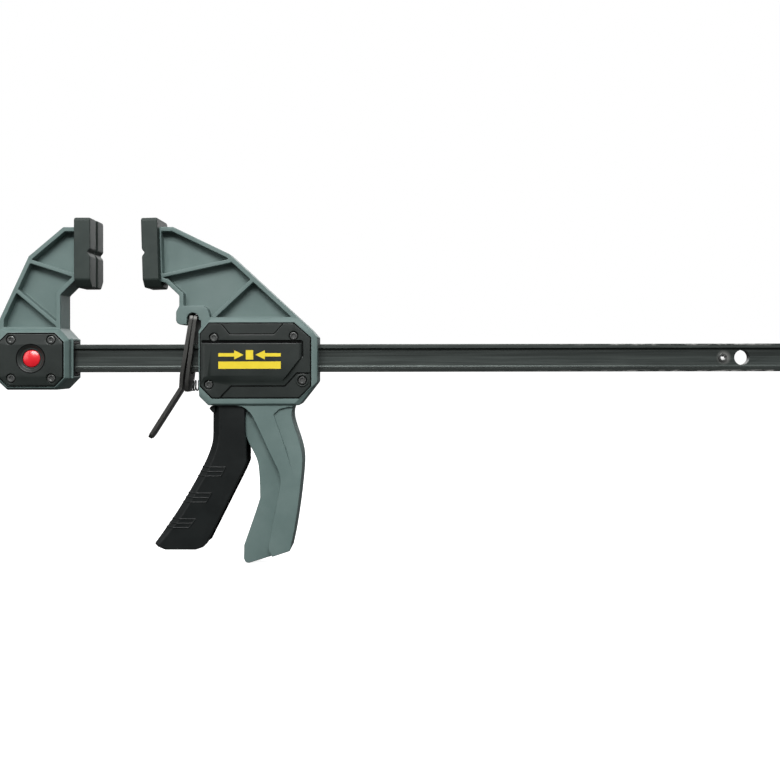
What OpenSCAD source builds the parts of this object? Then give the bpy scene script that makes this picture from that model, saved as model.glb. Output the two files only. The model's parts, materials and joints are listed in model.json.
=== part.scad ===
// Quick release bar clamp, one-handed, with a squeeze trigger, a brake lever and a
// push-button latch that lets the fixed jaw be moved to the other end of the bar.
//
// Frame: X runs along the bar, Z points up through the jaws, Y goes across the clamp.
// Origin: on the bar's centre line, in the plane of the fixed pad's clamping face.

/* [Bar] */
// Length of the bar
bar_length = 573; // [480:1:900]
// Height of the bar's I section
bar_height = 20; // [18:0.5:22]
// Width of the bar across its flanges
bar_width = 10; // [8:0.5:11]
// Thickness of the bar's web
bar_web = 6.3; // [5:0.1:7]
// Thickness of each flange at its edge
bar_flange = 3; // [2.5:0.1:4]
// Diameter of the latch hole near each end of the bar
end_hole_d = 10.8; // [9:0.1:11.4]
// Distance from each end of the bar to the middle of its hole
end_hole_inset = 33; // [28:1:45]
// Diameter of the spring pin on the inner side of each hole
stop_pin_d = 6; // [4:0.5:7]
// Wall of the rolled sheet that makes a spring pin
stop_pin_wall = 1.2; // [0.8:0.1:1.5]
// Distance from a latch hole to its spring pin
stop_pin_gap = 14; // [12:0.5:18]

/* [Pads] */
// Width of a clamping pad across the clamp
pad_width = 36; // [30:1:42]
// Height of a clamping pad
pad_height = 49.4; // [44:0.5:56]
// Thickness of a clamping pad
pad_depth = 11.6; // [10:0.2:14]
// Height of the pads' lower edge above the bar's centre line
pad_base_z = 50.4; // [46:0.5:60]
// Width of the V grooves in the clamping faces
groove_width = 4.6; // [3:0.2:6]
// Depth of the V grooves in the clamping faces
groove_depth = 2.2; // [1:0.1:3]
// Angle by which the moving pad leans in at its top
toe_in = 1.6; // [0.5:0.1:2]
// Length of the tongue that carries each pad
tongue_length = 5; // [3:0.5:6]
// Thickness of the tongue across the clamp
tongue_width = 10; // [8:0.5:14]

/* [Jaws] */
// Gap between the pads as the clamp is set down
opening = 36.4; // [20:0.5:60]
// Thickness of both jaw arms across the clamp
arm_width = 24; // [20:0.5:26]
// Thickness of the web between an arm's pockets
arm_web = 9; // [6:0.5:12]
// Width of the rim around an arm's pockets
arm_rim = 3.2; // [2.4:0.1:4]
// Width of the stiffening ribs in the pockets
rib_width = 2.8; // [2:0.1:4]
// Height of the pads' upper edge above the arms' top
arm_top_drop = 6.2; // [4:0.2:9]

/* [Fixed jaw] */
// Distance from the clamping face to the middle of the latch
latch_inset = 42; // [40:0.5:50]
// Length of the fixed jaw's block along the bar
jaw_block_length = 52; // [48:1:60]
// Width of the fixed jaw's block across the clamp
jaw_block_width = 27; // [26:0.5:29]
// Depth of the block below the bar's centre line
jaw_block_drop = 22.2; // [21:0.2:26]
// Length of the octagonal covers along the bar
jaw_cover_length = 44.6; // [42:0.2:46]
// Height of the octagonal covers
jaw_cover_height = 36.6; // [35:0.2:38]
// Diameter of the latch button
button_d = 12; // [10:0.5:13]
// Diameter of the dished ring around the button
button_dish_d = 19.4; // [17:0.2:22]
// Travel of the latch button
latch_travel = 4.5; // [4.2:0.1:4.7]
// Radial gap around the latch's stud in the bar's hole
latch_stud_gap = 0.3; // [0.15:0.05:0.5]
// Wall of the liner around the bar at the jaw's mouth
sleeve_wall = 2.2; // [2:0.2:4]

/* [Head] */
// Distance from the moving pad's back to the head's left face
head_setback = 27.1; // [26:0.5:32]
// Length of the head's block along the bar
head_length = 85.2; // [82:1:95]
// Width of the head's block across the clamp
head_width = 31; // [30:0.5:33]
// Depth of the head's block below the bar's centre line
head_drop = 33.4; // [32:0.2:36]
// Width across the raised rims that frame the covers
rim_span = 34.4; // [33.5:0.2:36]
// Thickness of the covers
cover_thickness = 3; // [2.6:0.1:3.4]
// Width across the two seats that carry the covers
cover_seat_span = 30; // [29:0.2:31]
// Height of the raised panel on the head's covers
panel_height = 2; // [1:0.1:3]
// Diameter of the screws' shanks
screw_d = 3; // [2.5:0.1:3.4]
// Diameter of the screws' heads
screw_head_d = 5.8; // [5:0.1:6.2]
// Height of the screws' heads
screw_head_height = 1.2; // [1:0.1:1.4]
// Depth of the counterbores that hold the screws' heads
screw_sink = 1.8; // [1.6:0.1:2]
// Length of the screws under their heads
screw_length = 8; // [6:0.5:9]

/* [Handle] */
// Width of the handle's thick part across the clamp
handle_width = 30.4; // [30:0.2:33]
// Width of the rib along the handle's front
handle_rib_width = 18; // [14:0.5:18.4]
// Distance from the bar's centre line to the handle's lower end
handle_drop = 146.4; // [140:1:165]

/* [Trigger] */
// Diameter of the trigger's pivot pin
pivot_pin_d = 5; // [4:0.5:6]
// Width of the trigger across the clamp
trigger_width = 26; // [25.4:0.1:26.2]
// Thickness of the trigger's side walls
trigger_side_wall = 3; // [2.4:0.1:3.2]
// Thickness of the trigger's finger wall
trigger_front_wall = 5; // [4:0.2:6]
// Distance from the bar's centre line to the trigger's lower end
trigger_drop = 136.8; // [130:1:142]
// Distance of the pushing lobe below the pivot
lobe_drop = 8.5; // [8:0.1:9]

/* [Plates] */
// Thickness of each drive plate
drive_plate_thickness = 2.8; // [2:0.1:3]
// Width of the drive plates across the clamp
drive_plate_width = 25; // [20:0.5:25.6]
// Thickness of the release lever and of the brake plate
brake_plate_thickness = 2.8; // [2.2:0.1:3]
// Width of the brake plates across the clamp
brake_plate_width = 23; // [20:0.5:26]
// Width of the release lever's tail
lever_tail_width = 14; // [10:0.5:18]
// Length of the release lever's tail below its bend
lever_tail_length = 42; // [30:1:50]
// Angle between the lever's tail and the vertical
lever_tail_angle = 32.6; // [20:0.2:40]
// Angle at which the brake plate leans on the bar
brake_lean = 7.6; // [6:0.2:8]
// Angle at which the release lever leans, which opens a wedge between the two
lever_lean = 9.4; // [8:0.2:9.6]

/* [Springs] */
// Wire of the drive spring around the bar
drive_wire_d = 1.5; // [1.2:0.1:1.8]
// Outer diameter of the drive spring
drive_spring_d = 26.6; // [26:0.2:27.4]
// Wire of the brake spring
brake_wire_d = 1; // [0.8:0.1:1.2]
// Outer diameter of the brake spring
brake_spring_d = 8.2; // [7:0.2:9]
// Wire of the latch spring
latch_wire_d = 0.6; // [0.4:0.1:0.7]
// Outer diameter of the latch spring
latch_spring_d = 9; // [7:0.5:11]

/* [Clearances] */
// Gap between the bar and what slides on it
bar_gap = 0.3; // [0.15:0.05:0.5]
// Radial gap between a pin and the hole it turns in
pin_gap = 0.05; // [0.02:0.01:0.1]
// Gap between two pieces that seat in each other
seat_gap = 0.15; // [0.1:0.05:0.25]
// Radial gap around the screws' shanks
thread_gap = 0.02; // [0.01:0.01:0.05]
// Gap left at the end of each spring
spring_gap = 0.1; // [0.05:0.05:0.2]
// Gap between a moving piece and the walls beside it
side_gap = 0.3; // [0.2:0.05:0.4]

/* [Hidden] */
$fn = 48;
tiny = 0.01;
curve_steps = 5; // straight pieces per span of a smooth outline

// Bar
half_bar = bar_height / 2;
groove_half = half_bar - bar_flange;
web_half = bar_web / 2;
latch_x = -latch_inset;
bar_x0 = latch_x - end_hole_inset;
bar_x1 = bar_x0 + bar_length;
far_hole_x = bar_x1 - end_hole_inset;
hole_xs = [latch_x, far_hole_x];
pin_xs = [latch_x + stop_pin_gap, far_hole_x - stop_pin_gap];

// Levels shared by both jaws
pad_top_z = pad_base_z + pad_height;
pad_mid_z = pad_base_z + pad_height / 2;
arm_top_z = pad_top_z - arm_top_drop;
throat_top_z = pad_base_z - 5;
tongue_z0 = pad_base_z + 13;
tongue_z1 = arm_top_z - 6;
rim_y = rim_span / 2;
seat_y = cover_seat_span / 2;
cover_y = seat_y + cover_thickness;
screw_seat_y = -cover_y + screw_sink; // on the front; the back mirrors it
screw_head_room = 0.5;
groove_drop = 1.3; // depth of the groove beside the head's raised panel
pocket_y = arm_web / 2;

// Fixed jaw
jaw_x0 = latch_x - jaw_block_length / 2;
jaw_x1 = jaw_x0 + jaw_block_length;
jaw_throat_x = jaw_x1 - 6.8;
jaw_cover_z = -0.9;
jaw_cover_cut = 6;
jaw_screw_dx = 14.2;
jaw_screw_dz = 13.6;
latch_room_x = 8.6; // half the length of the chamber that the yoke slides in
latch_room_z = half_bar + 4.2;
yoke_half = 6.8;
yoke_plate = 2;
yoke_room = 0.5; // between the bar and the yoke's front plate when it is pressed in
yoke_front_y = -(bar_width / 2 + yoke_room + yoke_plate + latch_travel);
yoke_back_y = bar_width / 2 + yoke_plate + 1;
yoke_arm_z0 = half_bar + 1.2;
yoke_arm_z1 = latch_room_z - 0.6;
stud_d = end_hole_d - 2 * latch_stud_gap;
stud_tip_y = web_half + 0.85 - latch_travel; // clear of the web when it is pressed in
button_flange = 1.2;
button_proud = -0.7; // of the cover's face: the dome lies just under it
button_dome_r = 14;
dish_depth = 1.6;
latch_seat_depth = 1.2;
sleeve_depth = 4;
sleeve_lip = 1.6;
nose_wall = 2; // nylon around the sleeve, beyond the block's right face
nose_half_y = bar_width / 2 + sleeve_wall + nose_wall;

// Head
pad_back_x = opening + pad_depth;
head_x0 = pad_back_x + head_setback;
head_x1 = head_x0 + head_length;
head_face_x = head_x0 + 1.3; // the left face of the block, beside the plates
head_throat_x = head_x0 - 13.4;
lever_pivot = [head_x0 - 3.7, 28.2];
notch_r = brake_plate_thickness + 1.4;
hook_x = lever_pivot[0] - notch_r - 7.8;
head_cover = [
    [head_x0 + 2.8, -19.5], [head_x0 + 11, -27.8], [head_x1 - 13.2, -27.8], [head_x1 - 5, -19.6],
    [head_x1 - 5, 14.2], [head_x1 - 16.6, 24.5], [head_x0 + 9, 24.5], [head_x0 + 2.8, 17.1]
];
head_rim = [
    [head_face_x, -21.8], [head_x0 + 11.2, -32.2], [head_x1 - 15.8, -32.2], [head_x1 - 3.6, -20.2],
    [head_x1 - 3.6, 14.9], [head_x1 - 15.8, 26], [head_x0 + 8.2, 26], [head_face_x, 18]
];
head_block = [
    [head_face_x, -27], [head_x0 + 7.8, -head_drop], [head_x1 - 12.8, -head_drop], [head_x1, -17],
    [head_x1, 15], [head_x1 - 13.8, 28.6], [head_x0 + 9.6, 28.6], [head_face_x, 20]
];
head_screws = [
    [head_x0 + 12.2, 14.6], [head_x1 - 16.7, 15.7], [head_x0 + 8.5, -18.7], [head_x1 - 10.6, -15.7]
];
pivot = [head_x0 + 23.9, -21.6];
hub_r = 7.6;
slot_half = trigger_width / 2 + side_gap;
trigger_bay_x0 = pivot[0] - hub_r - 3.2;
drive_x0 = pivot[0] + 7;
drive_stack = 2 * drive_plate_thickness;
bay_x0 = drive_x0 - 2.6;
bay_x1 = head_x0 + 63;
bay_z = 15.2;
tongue_bottom_z = pivot[1] - lobe_drop - 1.4;
washer_thickness = 1;
lobe_r = 3.2;
lobe = [drive_x0 - lobe_r - 0.2, pivot[1] - lobe_drop];
handle_bay_r = 27.4;
window_half_z = half_bar + 0.5;
window_half_y = bar_width / 2 + bar_gap;
brake_top = 2.4; // height of the plates' upper ends above the pivot
brake_spring_z = -19.6;
brake_seat_depth = 3.4;
brake_seat_r = brake_spring_d / 2 + 0.4;

// --- Helpers -----------------------------------------------------------------

// A slab whose outline lies in the XZ plane, between the planes y0 and y1.
module slab(outline, y0, y1) {
    rotate([90, 0, 0]) translate([0, 0, -y1]) linear_extrude(height = y1 - y0) polygon(outline);
}

// A slab of the given width, centred on the clamp's middle plane.
module centred_slab(outline, width) {
    slab(outline, -width / 2, width / 2);
}

// A box given by its lowest and highest corners.
module block(low, high) {
    translate(low) cube(high - low);
}

// A cylinder across the clamp, at [x, z], between the planes y0 and y1.
module cross_rod(at, r, y0, y1, r_end = -1) {
    translate([at[0], y1, at[1]]) rotate([90, 0, 0])
        cylinder(h = y1 - y0, r1 = r_end < 0 ? r : r_end, r2 = r);
}

// A solid through outlines with equal numbers of points, at rising distances from the viewer
// of the front: levels is a list of [y, outline]. A hollow outline is a ribbon: its two ends are
// then made of strips between its two long sides, instead of one face each.
module loft(levels, ribbon = false) {
    n = len(levels[0][1]);
    last = len(levels) - 1;
    points = [for (level = levels) for (p = level[1]) [p[0], level[0], p[1]]];
    caps = ribbon
        ? [for (i = [0 : floor((n - 3) / 2)]) i + 1 == n - 2 - i
            ? [i, i + 1, n - 1 - i] : [i, i + 1, n - 2 - i, n - 1 - i]]
        : [[for (i = [0 : n - 1]) i]];
    front = [for (cap = caps) [for (k = [len(cap) - 1 : -1 : 0]) cap[k]]];
    back = [for (cap = caps) [for (i = cap) last * n + i]];
    sides = [for (k = [0 : last - 1]) for (i = [0 : n - 1])
        [k * n + i, k * n + (i + 1) % n, (k + 1) * n + (i + 1) % n, (k + 1) * n + i]];
    polyhedron(points, concat(front, back, sides), convexity = 8);
}

// Points of a smooth curve that passes through every given point.
function smooth(p, steps = curve_steps) = concat(
    [for (i = [0 : len(p) - 2]) for (s = [0 : steps - 1])
        spline_point(p[max(i - 1, 0)], p[i], p[i + 1], p[min(i + 2, len(p) - 1)], s / steps)],
    [p[len(p) - 1]]);

function spline_point(a, b, c, d, t) =
    0.5 * ((2 * b) + (c - a) * t + (2 * a - 5 * b + 4 * c - d) * t * t
    + (3 * b - a - 3 * c + d) * t * t * t);

function unit(v) = v / norm(v);
function cross2(a, b) = a[0] * b[1] - a[1] * b[0];

// A counterclockwise outline moved inwards by d, or by one distance for each edge.
function inset(p, d) = [for (i = [0 : len(p) - 1])
    let (n = len(p), a = p[(i + n - 1) % n], b = p[i], c = p[(i + 1) % n],
         u = unit(b - a), v = unit(c - b),
         du = is_list(d) ? d[(i + n - 1) % n] : d, dv = is_list(d) ? d[i] : d,
         turn = cross2(u, v))
    abs(turn) < 0.1
        ? b + unit([-u[1] - v[1], u[0] + v[0]]) * (du + dv) / 2
        : b + (v * du - u * dv) / turn];

// A coil spring along +Z from z = 0, with closed end turns.
module coil(outer_d, wire_d, length, turns, rings = 18, sides = 6) {
    r = outer_d / 2 - wire_d / 2;
    closed = wire_d * 1.2;
    rise = (length - wire_d - 2 * closed) / (turns - 2);
    count = turns * rings;
    function height(t) = wire_d / 2 + (t < 1 ? t * closed
        : t > turns - 1 ? closed + (turns - 2) * rise + (t - turns + 1) * closed
        : closed + (t - 1) * rise);
    points = [for (i = [0 : count]) for (k = [0 : sides - 1])
        let (t = i / rings, a = 360 * t, b = 360 * k / sides, rr = r + wire_d / 2 * cos(b))
        [rr * cos(a), rr * sin(a), height(t) + wire_d / 2 * sin(b)]];
    skin = [for (i = [0 : count - 1]) for (k = [0 : sides - 1])
        [i * sides + k, i * sides + (k + 1) % sides,
         (i + 1) * sides + (k + 1) % sides, (i + 1) * sides + k]];
    first = [for (k = [sides - 1 : -1 : 0]) k];
    last = [for (k = [0 : sides - 1]) count * sides + k];
    polyhedron(points, concat([first], [last], skin), convexity = 8);
}

// The passage for the bar; keyed passages follow the I section into its grooves.
module bar_passage(x0, x1, keyed = false) {
    half_z = half_bar + bar_gap;
    half_y = bar_width / 2 + bar_gap;
    difference() {
        block([x0, -half_y, -half_z], [x1, half_y, half_z]);
        if (keyed) for (side = [-1, 1])
            translate([(x0 + x1) / 2, side * (half_y + web_half + bar_gap) / 2, 0])
                cube([x1 - x0 - 2 * tiny, half_y - web_half - bar_gap, 2 * (groove_half - 2.4)],
                    center = true);
    }
}

// A screw with a socket head, at [x, z], entering from the front; side = 1 puts it at the back.
module cover_screw(at, side) {
    head_y = screw_seat_y - screw_head_height;
    socket_depth = 0.75 * screw_head_height;
    color("dimgray") mirror([0, side > 0 ? 1 : 0, 0]) difference() {
        union() {
            cross_rod(at, screw_head_d / 2, head_y, screw_seat_y);
            cross_rod(at, screw_d / 2, screw_seat_y - tiny, screw_seat_y + screw_length);
        }
        translate([at[0], head_y + socket_depth, at[1]]) rotate([90, 0, 0])
            cylinder(h = socket_depth + 1, r = screw_head_d / 4, $fn = 6);
    }
}

// The holes that one screw needs in its cover and in the moulding under it.
module screw_holes(at) {
    for (side = [0, 1]) mirror([0, side, 0]) {
        cross_rod(at, screw_head_d / 2 + screw_head_room, -rim_y - 4, screw_seat_y);
        cross_rod(at, screw_d / 2 + thread_gap, -cover_y, screw_seat_y + screw_length + side_gap);
    }
}

function octagon(x, z, length, height, cut) = [
    [x - length / 2, z - height / 2 + cut], [x - length / 2 + cut, z - height / 2],
    [x + length / 2 - cut, z - height / 2], [x + length / 2, z - height / 2 + cut],
    [x + length / 2, z + height / 2 - cut], [x + length / 2 - cut, z + height / 2],
    [x - length / 2 + cut, z + height / 2], [x - length / 2, z + height / 2 - cut]
];

// A straight rib between two points of the XZ plane.
module rib(a, b, width) {
    run = b - a;
    side = unit([-run[1], run[0]]) * rib_width / 2;
    centred_slab([a - side, b - side, b + side, a + side], width);
}

// Everything that a jaw's pocket removes on both sides of its web.
module pockets(outline) {
    for (side = [0, 1]) mirror([0, side, 0]) slab(outline, -arm_width, -pocket_y);
}

// --- Bar ---------------------------------------------------------------------

// One groove of the I section, with quarter-round fillets that reach the web.
function groove_outline() = let (depth = bar_width / 2 - web_half, edge = groove_half - depth) concat(
    [[web_half + depth + 1, -groove_half]],
    [for (a = [90 : -15 : 0]) [web_half + depth - depth * cos(a), -edge - depth * sin(a)]],
    [for (a = [0 : 15 : 90]) [web_half + depth - depth * cos(a), edge + depth * sin(a)]],
    [[web_half + depth + 1, groove_half]]);

module bar() {
    color("dimgray") difference() {
        block([bar_x0, -bar_width / 2, -half_bar], [bar_x1, bar_width / 2, half_bar]);
        for (side = [0, 1]) mirror([0, side, 0]) translate([bar_x0 - 1, 0, 0])
            rotate([90, 0, 90]) linear_extrude(height = bar_length + 2) polygon(groove_outline());
        for (x = hole_xs) cross_rod([x, 0], end_hole_d / 2, -bar_width, bar_width);
        for (x = pin_xs) cross_rod([x, 0], stop_pin_d / 2, -bar_width, bar_width);
    }
}

module stop_pins() {
    color("silver") for (i = [0, 1]) difference() {
        cross_rod([pin_xs[i], 0], stop_pin_d / 2, -bar_width / 2, bar_width / 2);
        cross_rod([pin_xs[i], 0], stop_pin_d / 2 - stop_pin_wall, -bar_width, bar_width);
        block([pin_xs[i], -bar_width, -0.6], [pin_xs[i] + stop_pin_d, bar_width, 0.6]);
    }
}

// --- Pads --------------------------------------------------------------------

// A pad with its clamping face in the plane x = 0 and its body towards -X, base at z = 0.
module pad_shape() {
    half = pad_width / 2;
    low_cut = 5.5;
    top_cut = 1.6;
    profile = [[-half, low_cut], [-half + low_cut, 0], [half - low_cut, 0], [half, low_cut],
        [half, pad_height - top_cut], [half - top_cut, pad_height],
        [-half + top_cut, pad_height], [-half, pad_height - top_cut]];
    vee = [[tiny, -groove_width / 2 - tiny], [tiny, groove_width / 2 + tiny], [-groove_depth, 0]];
    color("#2d3030") difference() {
        translate([-pad_depth, 0, 0]) rotate([90, 0, 90])
            linear_extrude(height = pad_depth) polygon(profile);
        translate([0, 0, pad_height / 2]) centred_slab(vee, pad_width + 2);
        translate([0, 0, -1]) linear_extrude(height = pad_height + 2) polygon(vee);
        block([-pad_depth - 1, -tongue_width / 2 - seat_gap, tongue_z0 - pad_base_z - seat_gap],
            [-pad_depth + tongue_length + seat_gap, tongue_width / 2 + seat_gap,
                tongue_z1 - pad_base_z + seat_gap]);
    }
}

module fixed_pad() {
    translate([0, 0, pad_base_z]) pad_shape();
}

// Places what is drawn for an upright pad on the moving jaw, leaning in at the top.
module on_moving_jaw() {
    translate([pad_back_x, 0, pad_mid_z]) rotate([0, -toe_in, 0]) translate([0, 0, -pad_mid_z])
        children();
}

module moving_pad() {
    on_moving_jaw() translate([-pad_depth, 0, pad_base_z]) mirror([1, 0, 0]) pad_shape();
}

// --- Fixed jaw ---------------------------------------------------------------

jaw_cover = octagon(latch_x, jaw_cover_z, jaw_cover_length, jaw_cover_height, jaw_cover_cut);
jaw_block = [
    [jaw_x0, -jaw_block_drop + 7.4], [jaw_x0 + 7.8, -jaw_block_drop],
    [jaw_x1 - 8, -jaw_block_drop], [jaw_x1, -jaw_block_drop + 8.2],
    [jaw_x1, half_bar + 3.5], [jaw_throat_x, 21], [jaw_x0 + 3, 21], [jaw_x0, 18]
];
jaw_arm = [
    [jaw_x0, 0], [jaw_throat_x, 0], [jaw_throat_x, throat_top_z],
    [-pad_depth, throat_top_z + 11], [-pad_depth, arm_top_z], [-pad_depth - 9.2, arm_top_z],
    [latch_x - 3.5, arm_top_z - 20.8], [jaw_x0 + 2, 28.6], [jaw_x0, 21]
];
// The pocket is open towards the pad, whose back closes it.
jaw_pocket = inset([
    [jaw_x0 + 1.4, 19.3], [jaw_throat_x, 19.3], [jaw_throat_x, throat_top_z],
    [-pad_depth, throat_top_z + 11], [-pad_depth, arm_top_z], [-pad_depth - 9.2, arm_top_z],
    [latch_x - 3.5, arm_top_z - 20.8], [jaw_x0 + 2, 28.6]
], [for (i = [0 : 7]) i == 3 ? -1 : arm_rim]);
jaw_screws = [for (sx = [-1, 1]) for (sz = [-1, 1])
    [latch_x + sx * jaw_screw_dx, sz * jaw_screw_dz - 0.4]];

module fixed_jaw() {
    color("#74837f") difference() {
        union() {
            difference() {
                centred_slab(jaw_arm, arm_width);
                difference() {
                    pockets(jaw_pocket);
                    rib([latch_x - 2, arm_top_z - 24.4], [-pad_depth + 2, arm_top_z - 35.6], arm_width);
                    rib([latch_x - 12.5, throat_top_z + 3.4], [jaw_throat_x - 1, 22.8], arm_width);
                }
            }
            loft([
                [-rim_y, inset(jaw_cover, -1.3)], [-jaw_block_width / 2, jaw_block],
                [jaw_block_width / 2, jaw_block], [rim_y, inset(jaw_cover, -1.3)]
            ]);
            block([-pad_depth - 1, -tongue_width / 2, tongue_z0],
                [-pad_depth + tongue_length, tongue_width / 2, tongue_z1]);
            block([jaw_x1 - 1, -nose_half_y, -half_bar - sleeve_wall - nose_wall],
                [jaw_x1 + sleeve_lip - 0.1, nose_half_y, half_bar + sleeve_wall + nose_wall]);
        }
        for (side = [0, 1]) mirror([0, side, 0])
            slab(inset(jaw_cover, -seat_gap), -rim_y - 1, -seat_y);
        block([latch_x - latch_room_x, -seat_y - tiny, -latch_room_z],
            [latch_x + latch_room_x, seat_y + tiny, latch_room_z]);
        bar_passage(jaw_x0 - 1, jaw_x1 + 1);
        block([jaw_x1 - sleeve_depth, -bar_width / 2 - sleeve_wall - seat_gap,
                -half_bar - sleeve_wall - seat_gap],
            [jaw_x1 + sleeve_lip + 1, bar_width / 2 + sleeve_wall + seat_gap,
                half_bar + sleeve_wall + seat_gap]);
        for (at = jaw_screws) screw_holes(at);
    }
}

module bar_sleeve() {
    color("#1f2121") difference() {
        block([jaw_x1 - sleeve_depth, -bar_width / 2 - sleeve_wall, -half_bar - sleeve_wall],
            [jaw_x1 + sleeve_lip, bar_width / 2 + sleeve_wall, half_bar + sleeve_wall]);
        bar_passage(jaw_x1 - sleeve_depth - 1, jaw_x1 + sleeve_lip + 1);
    }
}

// The front or back octagonal plate, with its upper and lower edges sloped back a little.
module jaw_cover_plate() {
    top = jaw_cover_z + jaw_cover_height / 2;
    low = jaw_cover_z - jaw_cover_height / 2;
    section = [[-seat_y, low - 1], [-seat_y, top + 1], [-cover_y + 0.8, top],
        [-cover_y, top - 7.8], [-cover_y, low + 6.8], [-cover_y + 1.2, low]];
    color("#2f3433") difference() {
        intersection() {
            slab(jaw_cover, -cover_y - 1, -seat_y);
            translate([latch_x - jaw_cover_length, 0, 0]) rotate([90, 0, 90])
                linear_extrude(height = 2 * jaw_cover_length) polygon(section);
        }
        for (at = jaw_screws) screw_holes(at);
    }
}

module fixed_front_cover() {
    difference() {
        jaw_cover_plate();
        cross_rod([latch_x, 0], button_d / 2 + side_gap, -cover_y - 1, -seat_y + 1);
        cross_rod([latch_x, 0], button_dish_d / 2, -cover_y - tiny, -cover_y + dish_depth,
            button_d / 2 + dish_depth);
    }
}

// The back cover has a shallow seat for the latch spring on its inner face.
module fixed_back_cover() {
    difference() {
        mirror([0, 1, 0]) jaw_cover_plate();
        cross_rod([latch_x, 0], latch_spring_d / 2 + side_gap, seat_y - 1, seat_y + latch_seat_depth);
    }
}

module fixed_front_screws() {
    for (at = jaw_screws) cover_screw(at, -1);
}

module fixed_back_screws() {
    for (at = jaw_screws) cover_screw(at, 1);
}

// The button's dome, with a flange that stops it behind the front cover.
module latch_button() {
    top_y = -cover_y - button_proud;
    color("#c8141c") union() {
        cross_rod([latch_x, 0], button_d / 2 + button_flange, -seat_y + seat_gap, yoke_front_y);
        intersection() {
            cross_rod([latch_x, 0], button_d / 2, top_y, yoke_front_y);
            translate([latch_x, top_y + button_dome_r, 0]) sphere(r = button_dome_r, $fn = 96);
        }
    }
}

// A frame around the bar: the button pushes its front plate, and the stud on its back plate
// enters the bar's hole from behind.
module latch_yoke() {
    color("silver") difference() {
        block([latch_x - yoke_half, yoke_front_y, -yoke_arm_z1],
            [latch_x + yoke_half, yoke_back_y, yoke_arm_z1]);
        block([latch_x - yoke_half - 1, yoke_front_y + yoke_plate, -yoke_arm_z0],
            [latch_x + yoke_half + 1, yoke_back_y - yoke_plate, yoke_arm_z0]);
    }
    color("silver")
        cross_rod([latch_x, 0], stud_d / 2, stud_tip_y, yoke_back_y - yoke_plate / 2);
}

module latch_spring() {
    room = seat_y + latch_seat_depth - yoke_back_y;
    color("gainsboro") translate([latch_x, yoke_back_y + spring_gap, 0]) rotate([-90, 0, 0])
        coil(latch_spring_d, latch_wire_d, room - 2 * spring_gap, 4);
}

// --- Head --------------------------------------------------------------------

function face_x(z) = pad_back_x - tan(toe_in) * (z - pad_mid_z);

head_arm = [
    [head_throat_x, throat_top_z - 0.6], [head_throat_x, 37.4], [hook_x, 33.2],
    [hook_x, lever_pivot[1] - 1.2], [hook_x + 0.9, lever_pivot[1] - 3.3],
    [hook_x + 3, lever_pivot[1] - 4.2], [head_face_x + 0.7, lever_pivot[1] - 4.2],
    [head_face_x + 0.7, 0], [head_x1, 0], [head_x1, 14.9],
    [head_x1 - 3.6, 19.4], [pad_back_x + 49.2, arm_top_z - 19.2], [pad_back_x + 9.4, arm_top_z],
    [face_x(arm_top_z), arm_top_z], [face_x(throat_top_z + 9.2), throat_top_z + 9.2],
    [head_throat_x - 9.5, throat_top_z + 8.3]
];
// The pocket's rim is thin along the pad.
head_pocket = inset([
    [head_throat_x, 26.1], [head_x1 - 10.8, 26.1], [pad_back_x + 49.2, arm_top_z - 19.2],
    [pad_back_x + 9.4, arm_top_z], [face_x(arm_top_z), arm_top_z],
    [face_x(throat_top_z + 9.2), throat_top_z + 9.2], [head_throat_x - 9.5, throat_top_z + 8.3],
    [head_throat_x, throat_top_z - 0.6]
], [for (i = [0 : 7]) i == 4 ? 1.4 : arm_rim]);
// The thick ground around the lever's notch, which the pocket leaves standing.
notch_ground = [
    [hook_x, 20], [lever_pivot[0] + 12, 20], [lever_pivot[0] + 11.8, 31.6],
    [lever_pivot[0] + 10.4, 35.4], [lever_pivot[0] + 7.4, 37.4], [hook_x, 37.4]
];

// The handle's thick part: a curved front edge, a slanted lower end and a palm swell behind.
handle_end = [[head_x0 + 35.5, -handle_drop], [head_x1 - 19.7, -handle_drop + 9.4]];
function end_line(x) = handle_end[0][1]
    + (x - handle_end[0][0]) * (handle_end[1][1] - handle_end[0][1]) / (handle_end[1][0] - handle_end[0][0]);
handle_back = smooth([
    [head_x1 - 19.7, -handle_drop + 9.6], [head_x1 - 16.6, -handle_drop + 24.4],
    [head_x1 - 13.3, -handle_drop + 46.4],
    [head_x1 - 11.1, -79], [head_x1 - 11, -69.5], [head_x1 - 12.7, -60.5],
    [head_x1 - 17.4, -46], [head_x1 - 18.4, -38.5], [head_x1 - 17, -head_drop]
]);
handle_front = smooth([
    [head_x0 + 26, -head_drop], [head_x0 + 31.5, -34.4], [head_x0 + 36, -37.6],
    [head_x0 + 40.2, -43.6], [head_x0 + 50.4, -65.6], [head_x0 + 57.2, -80],
    [head_x0 + 58.6, -87], [head_x0 + 57.8, -94],
    [head_x0 + 50.8, -handle_drop + 17.4], [head_x0 + 50.2, -handle_drop + 11.4]
]);
handle_thick = concat(handle_front, [[head_x0 + 53, end_line(head_x0 + 53)]], handle_back,
    [[head_x1 - 17, -25], [head_x0 + 26, -25]]);
handle_rib = concat(smooth([
    [head_x0 + 28, -33], [head_x0 + 30, -45], [head_x0 + 34.9, -58.9], [head_x0 + 40.7, -70.5],
    [head_x0 + 42.7, -79], [head_x0 + 43.5, -96], [head_x0 + 42.3, -104],
    [head_x0 + 32.1, -handle_drop + 12.9]
]), [
    [head_x0 + 31.9, -handle_drop + 3], [head_x0 + 33.2, -handle_drop + 0.6], handle_end[0],
    [head_x1 - 22, end_line(head_x1 - 22)], [head_x1 - 20, -60], [head_x1 - 24, -33]
]);
thumb_recess = [
    [head_x1 - 27, -36.2], [head_x1 - 31.2, -40], [head_x1 - 25.2, -57], [head_x1 - 16.6, -84],
    [head_x1 + 2, -84], [head_x1 + 2, -34.8], [head_x1 - 21, -34.8]
];
recess_depth = 1.8;
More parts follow.
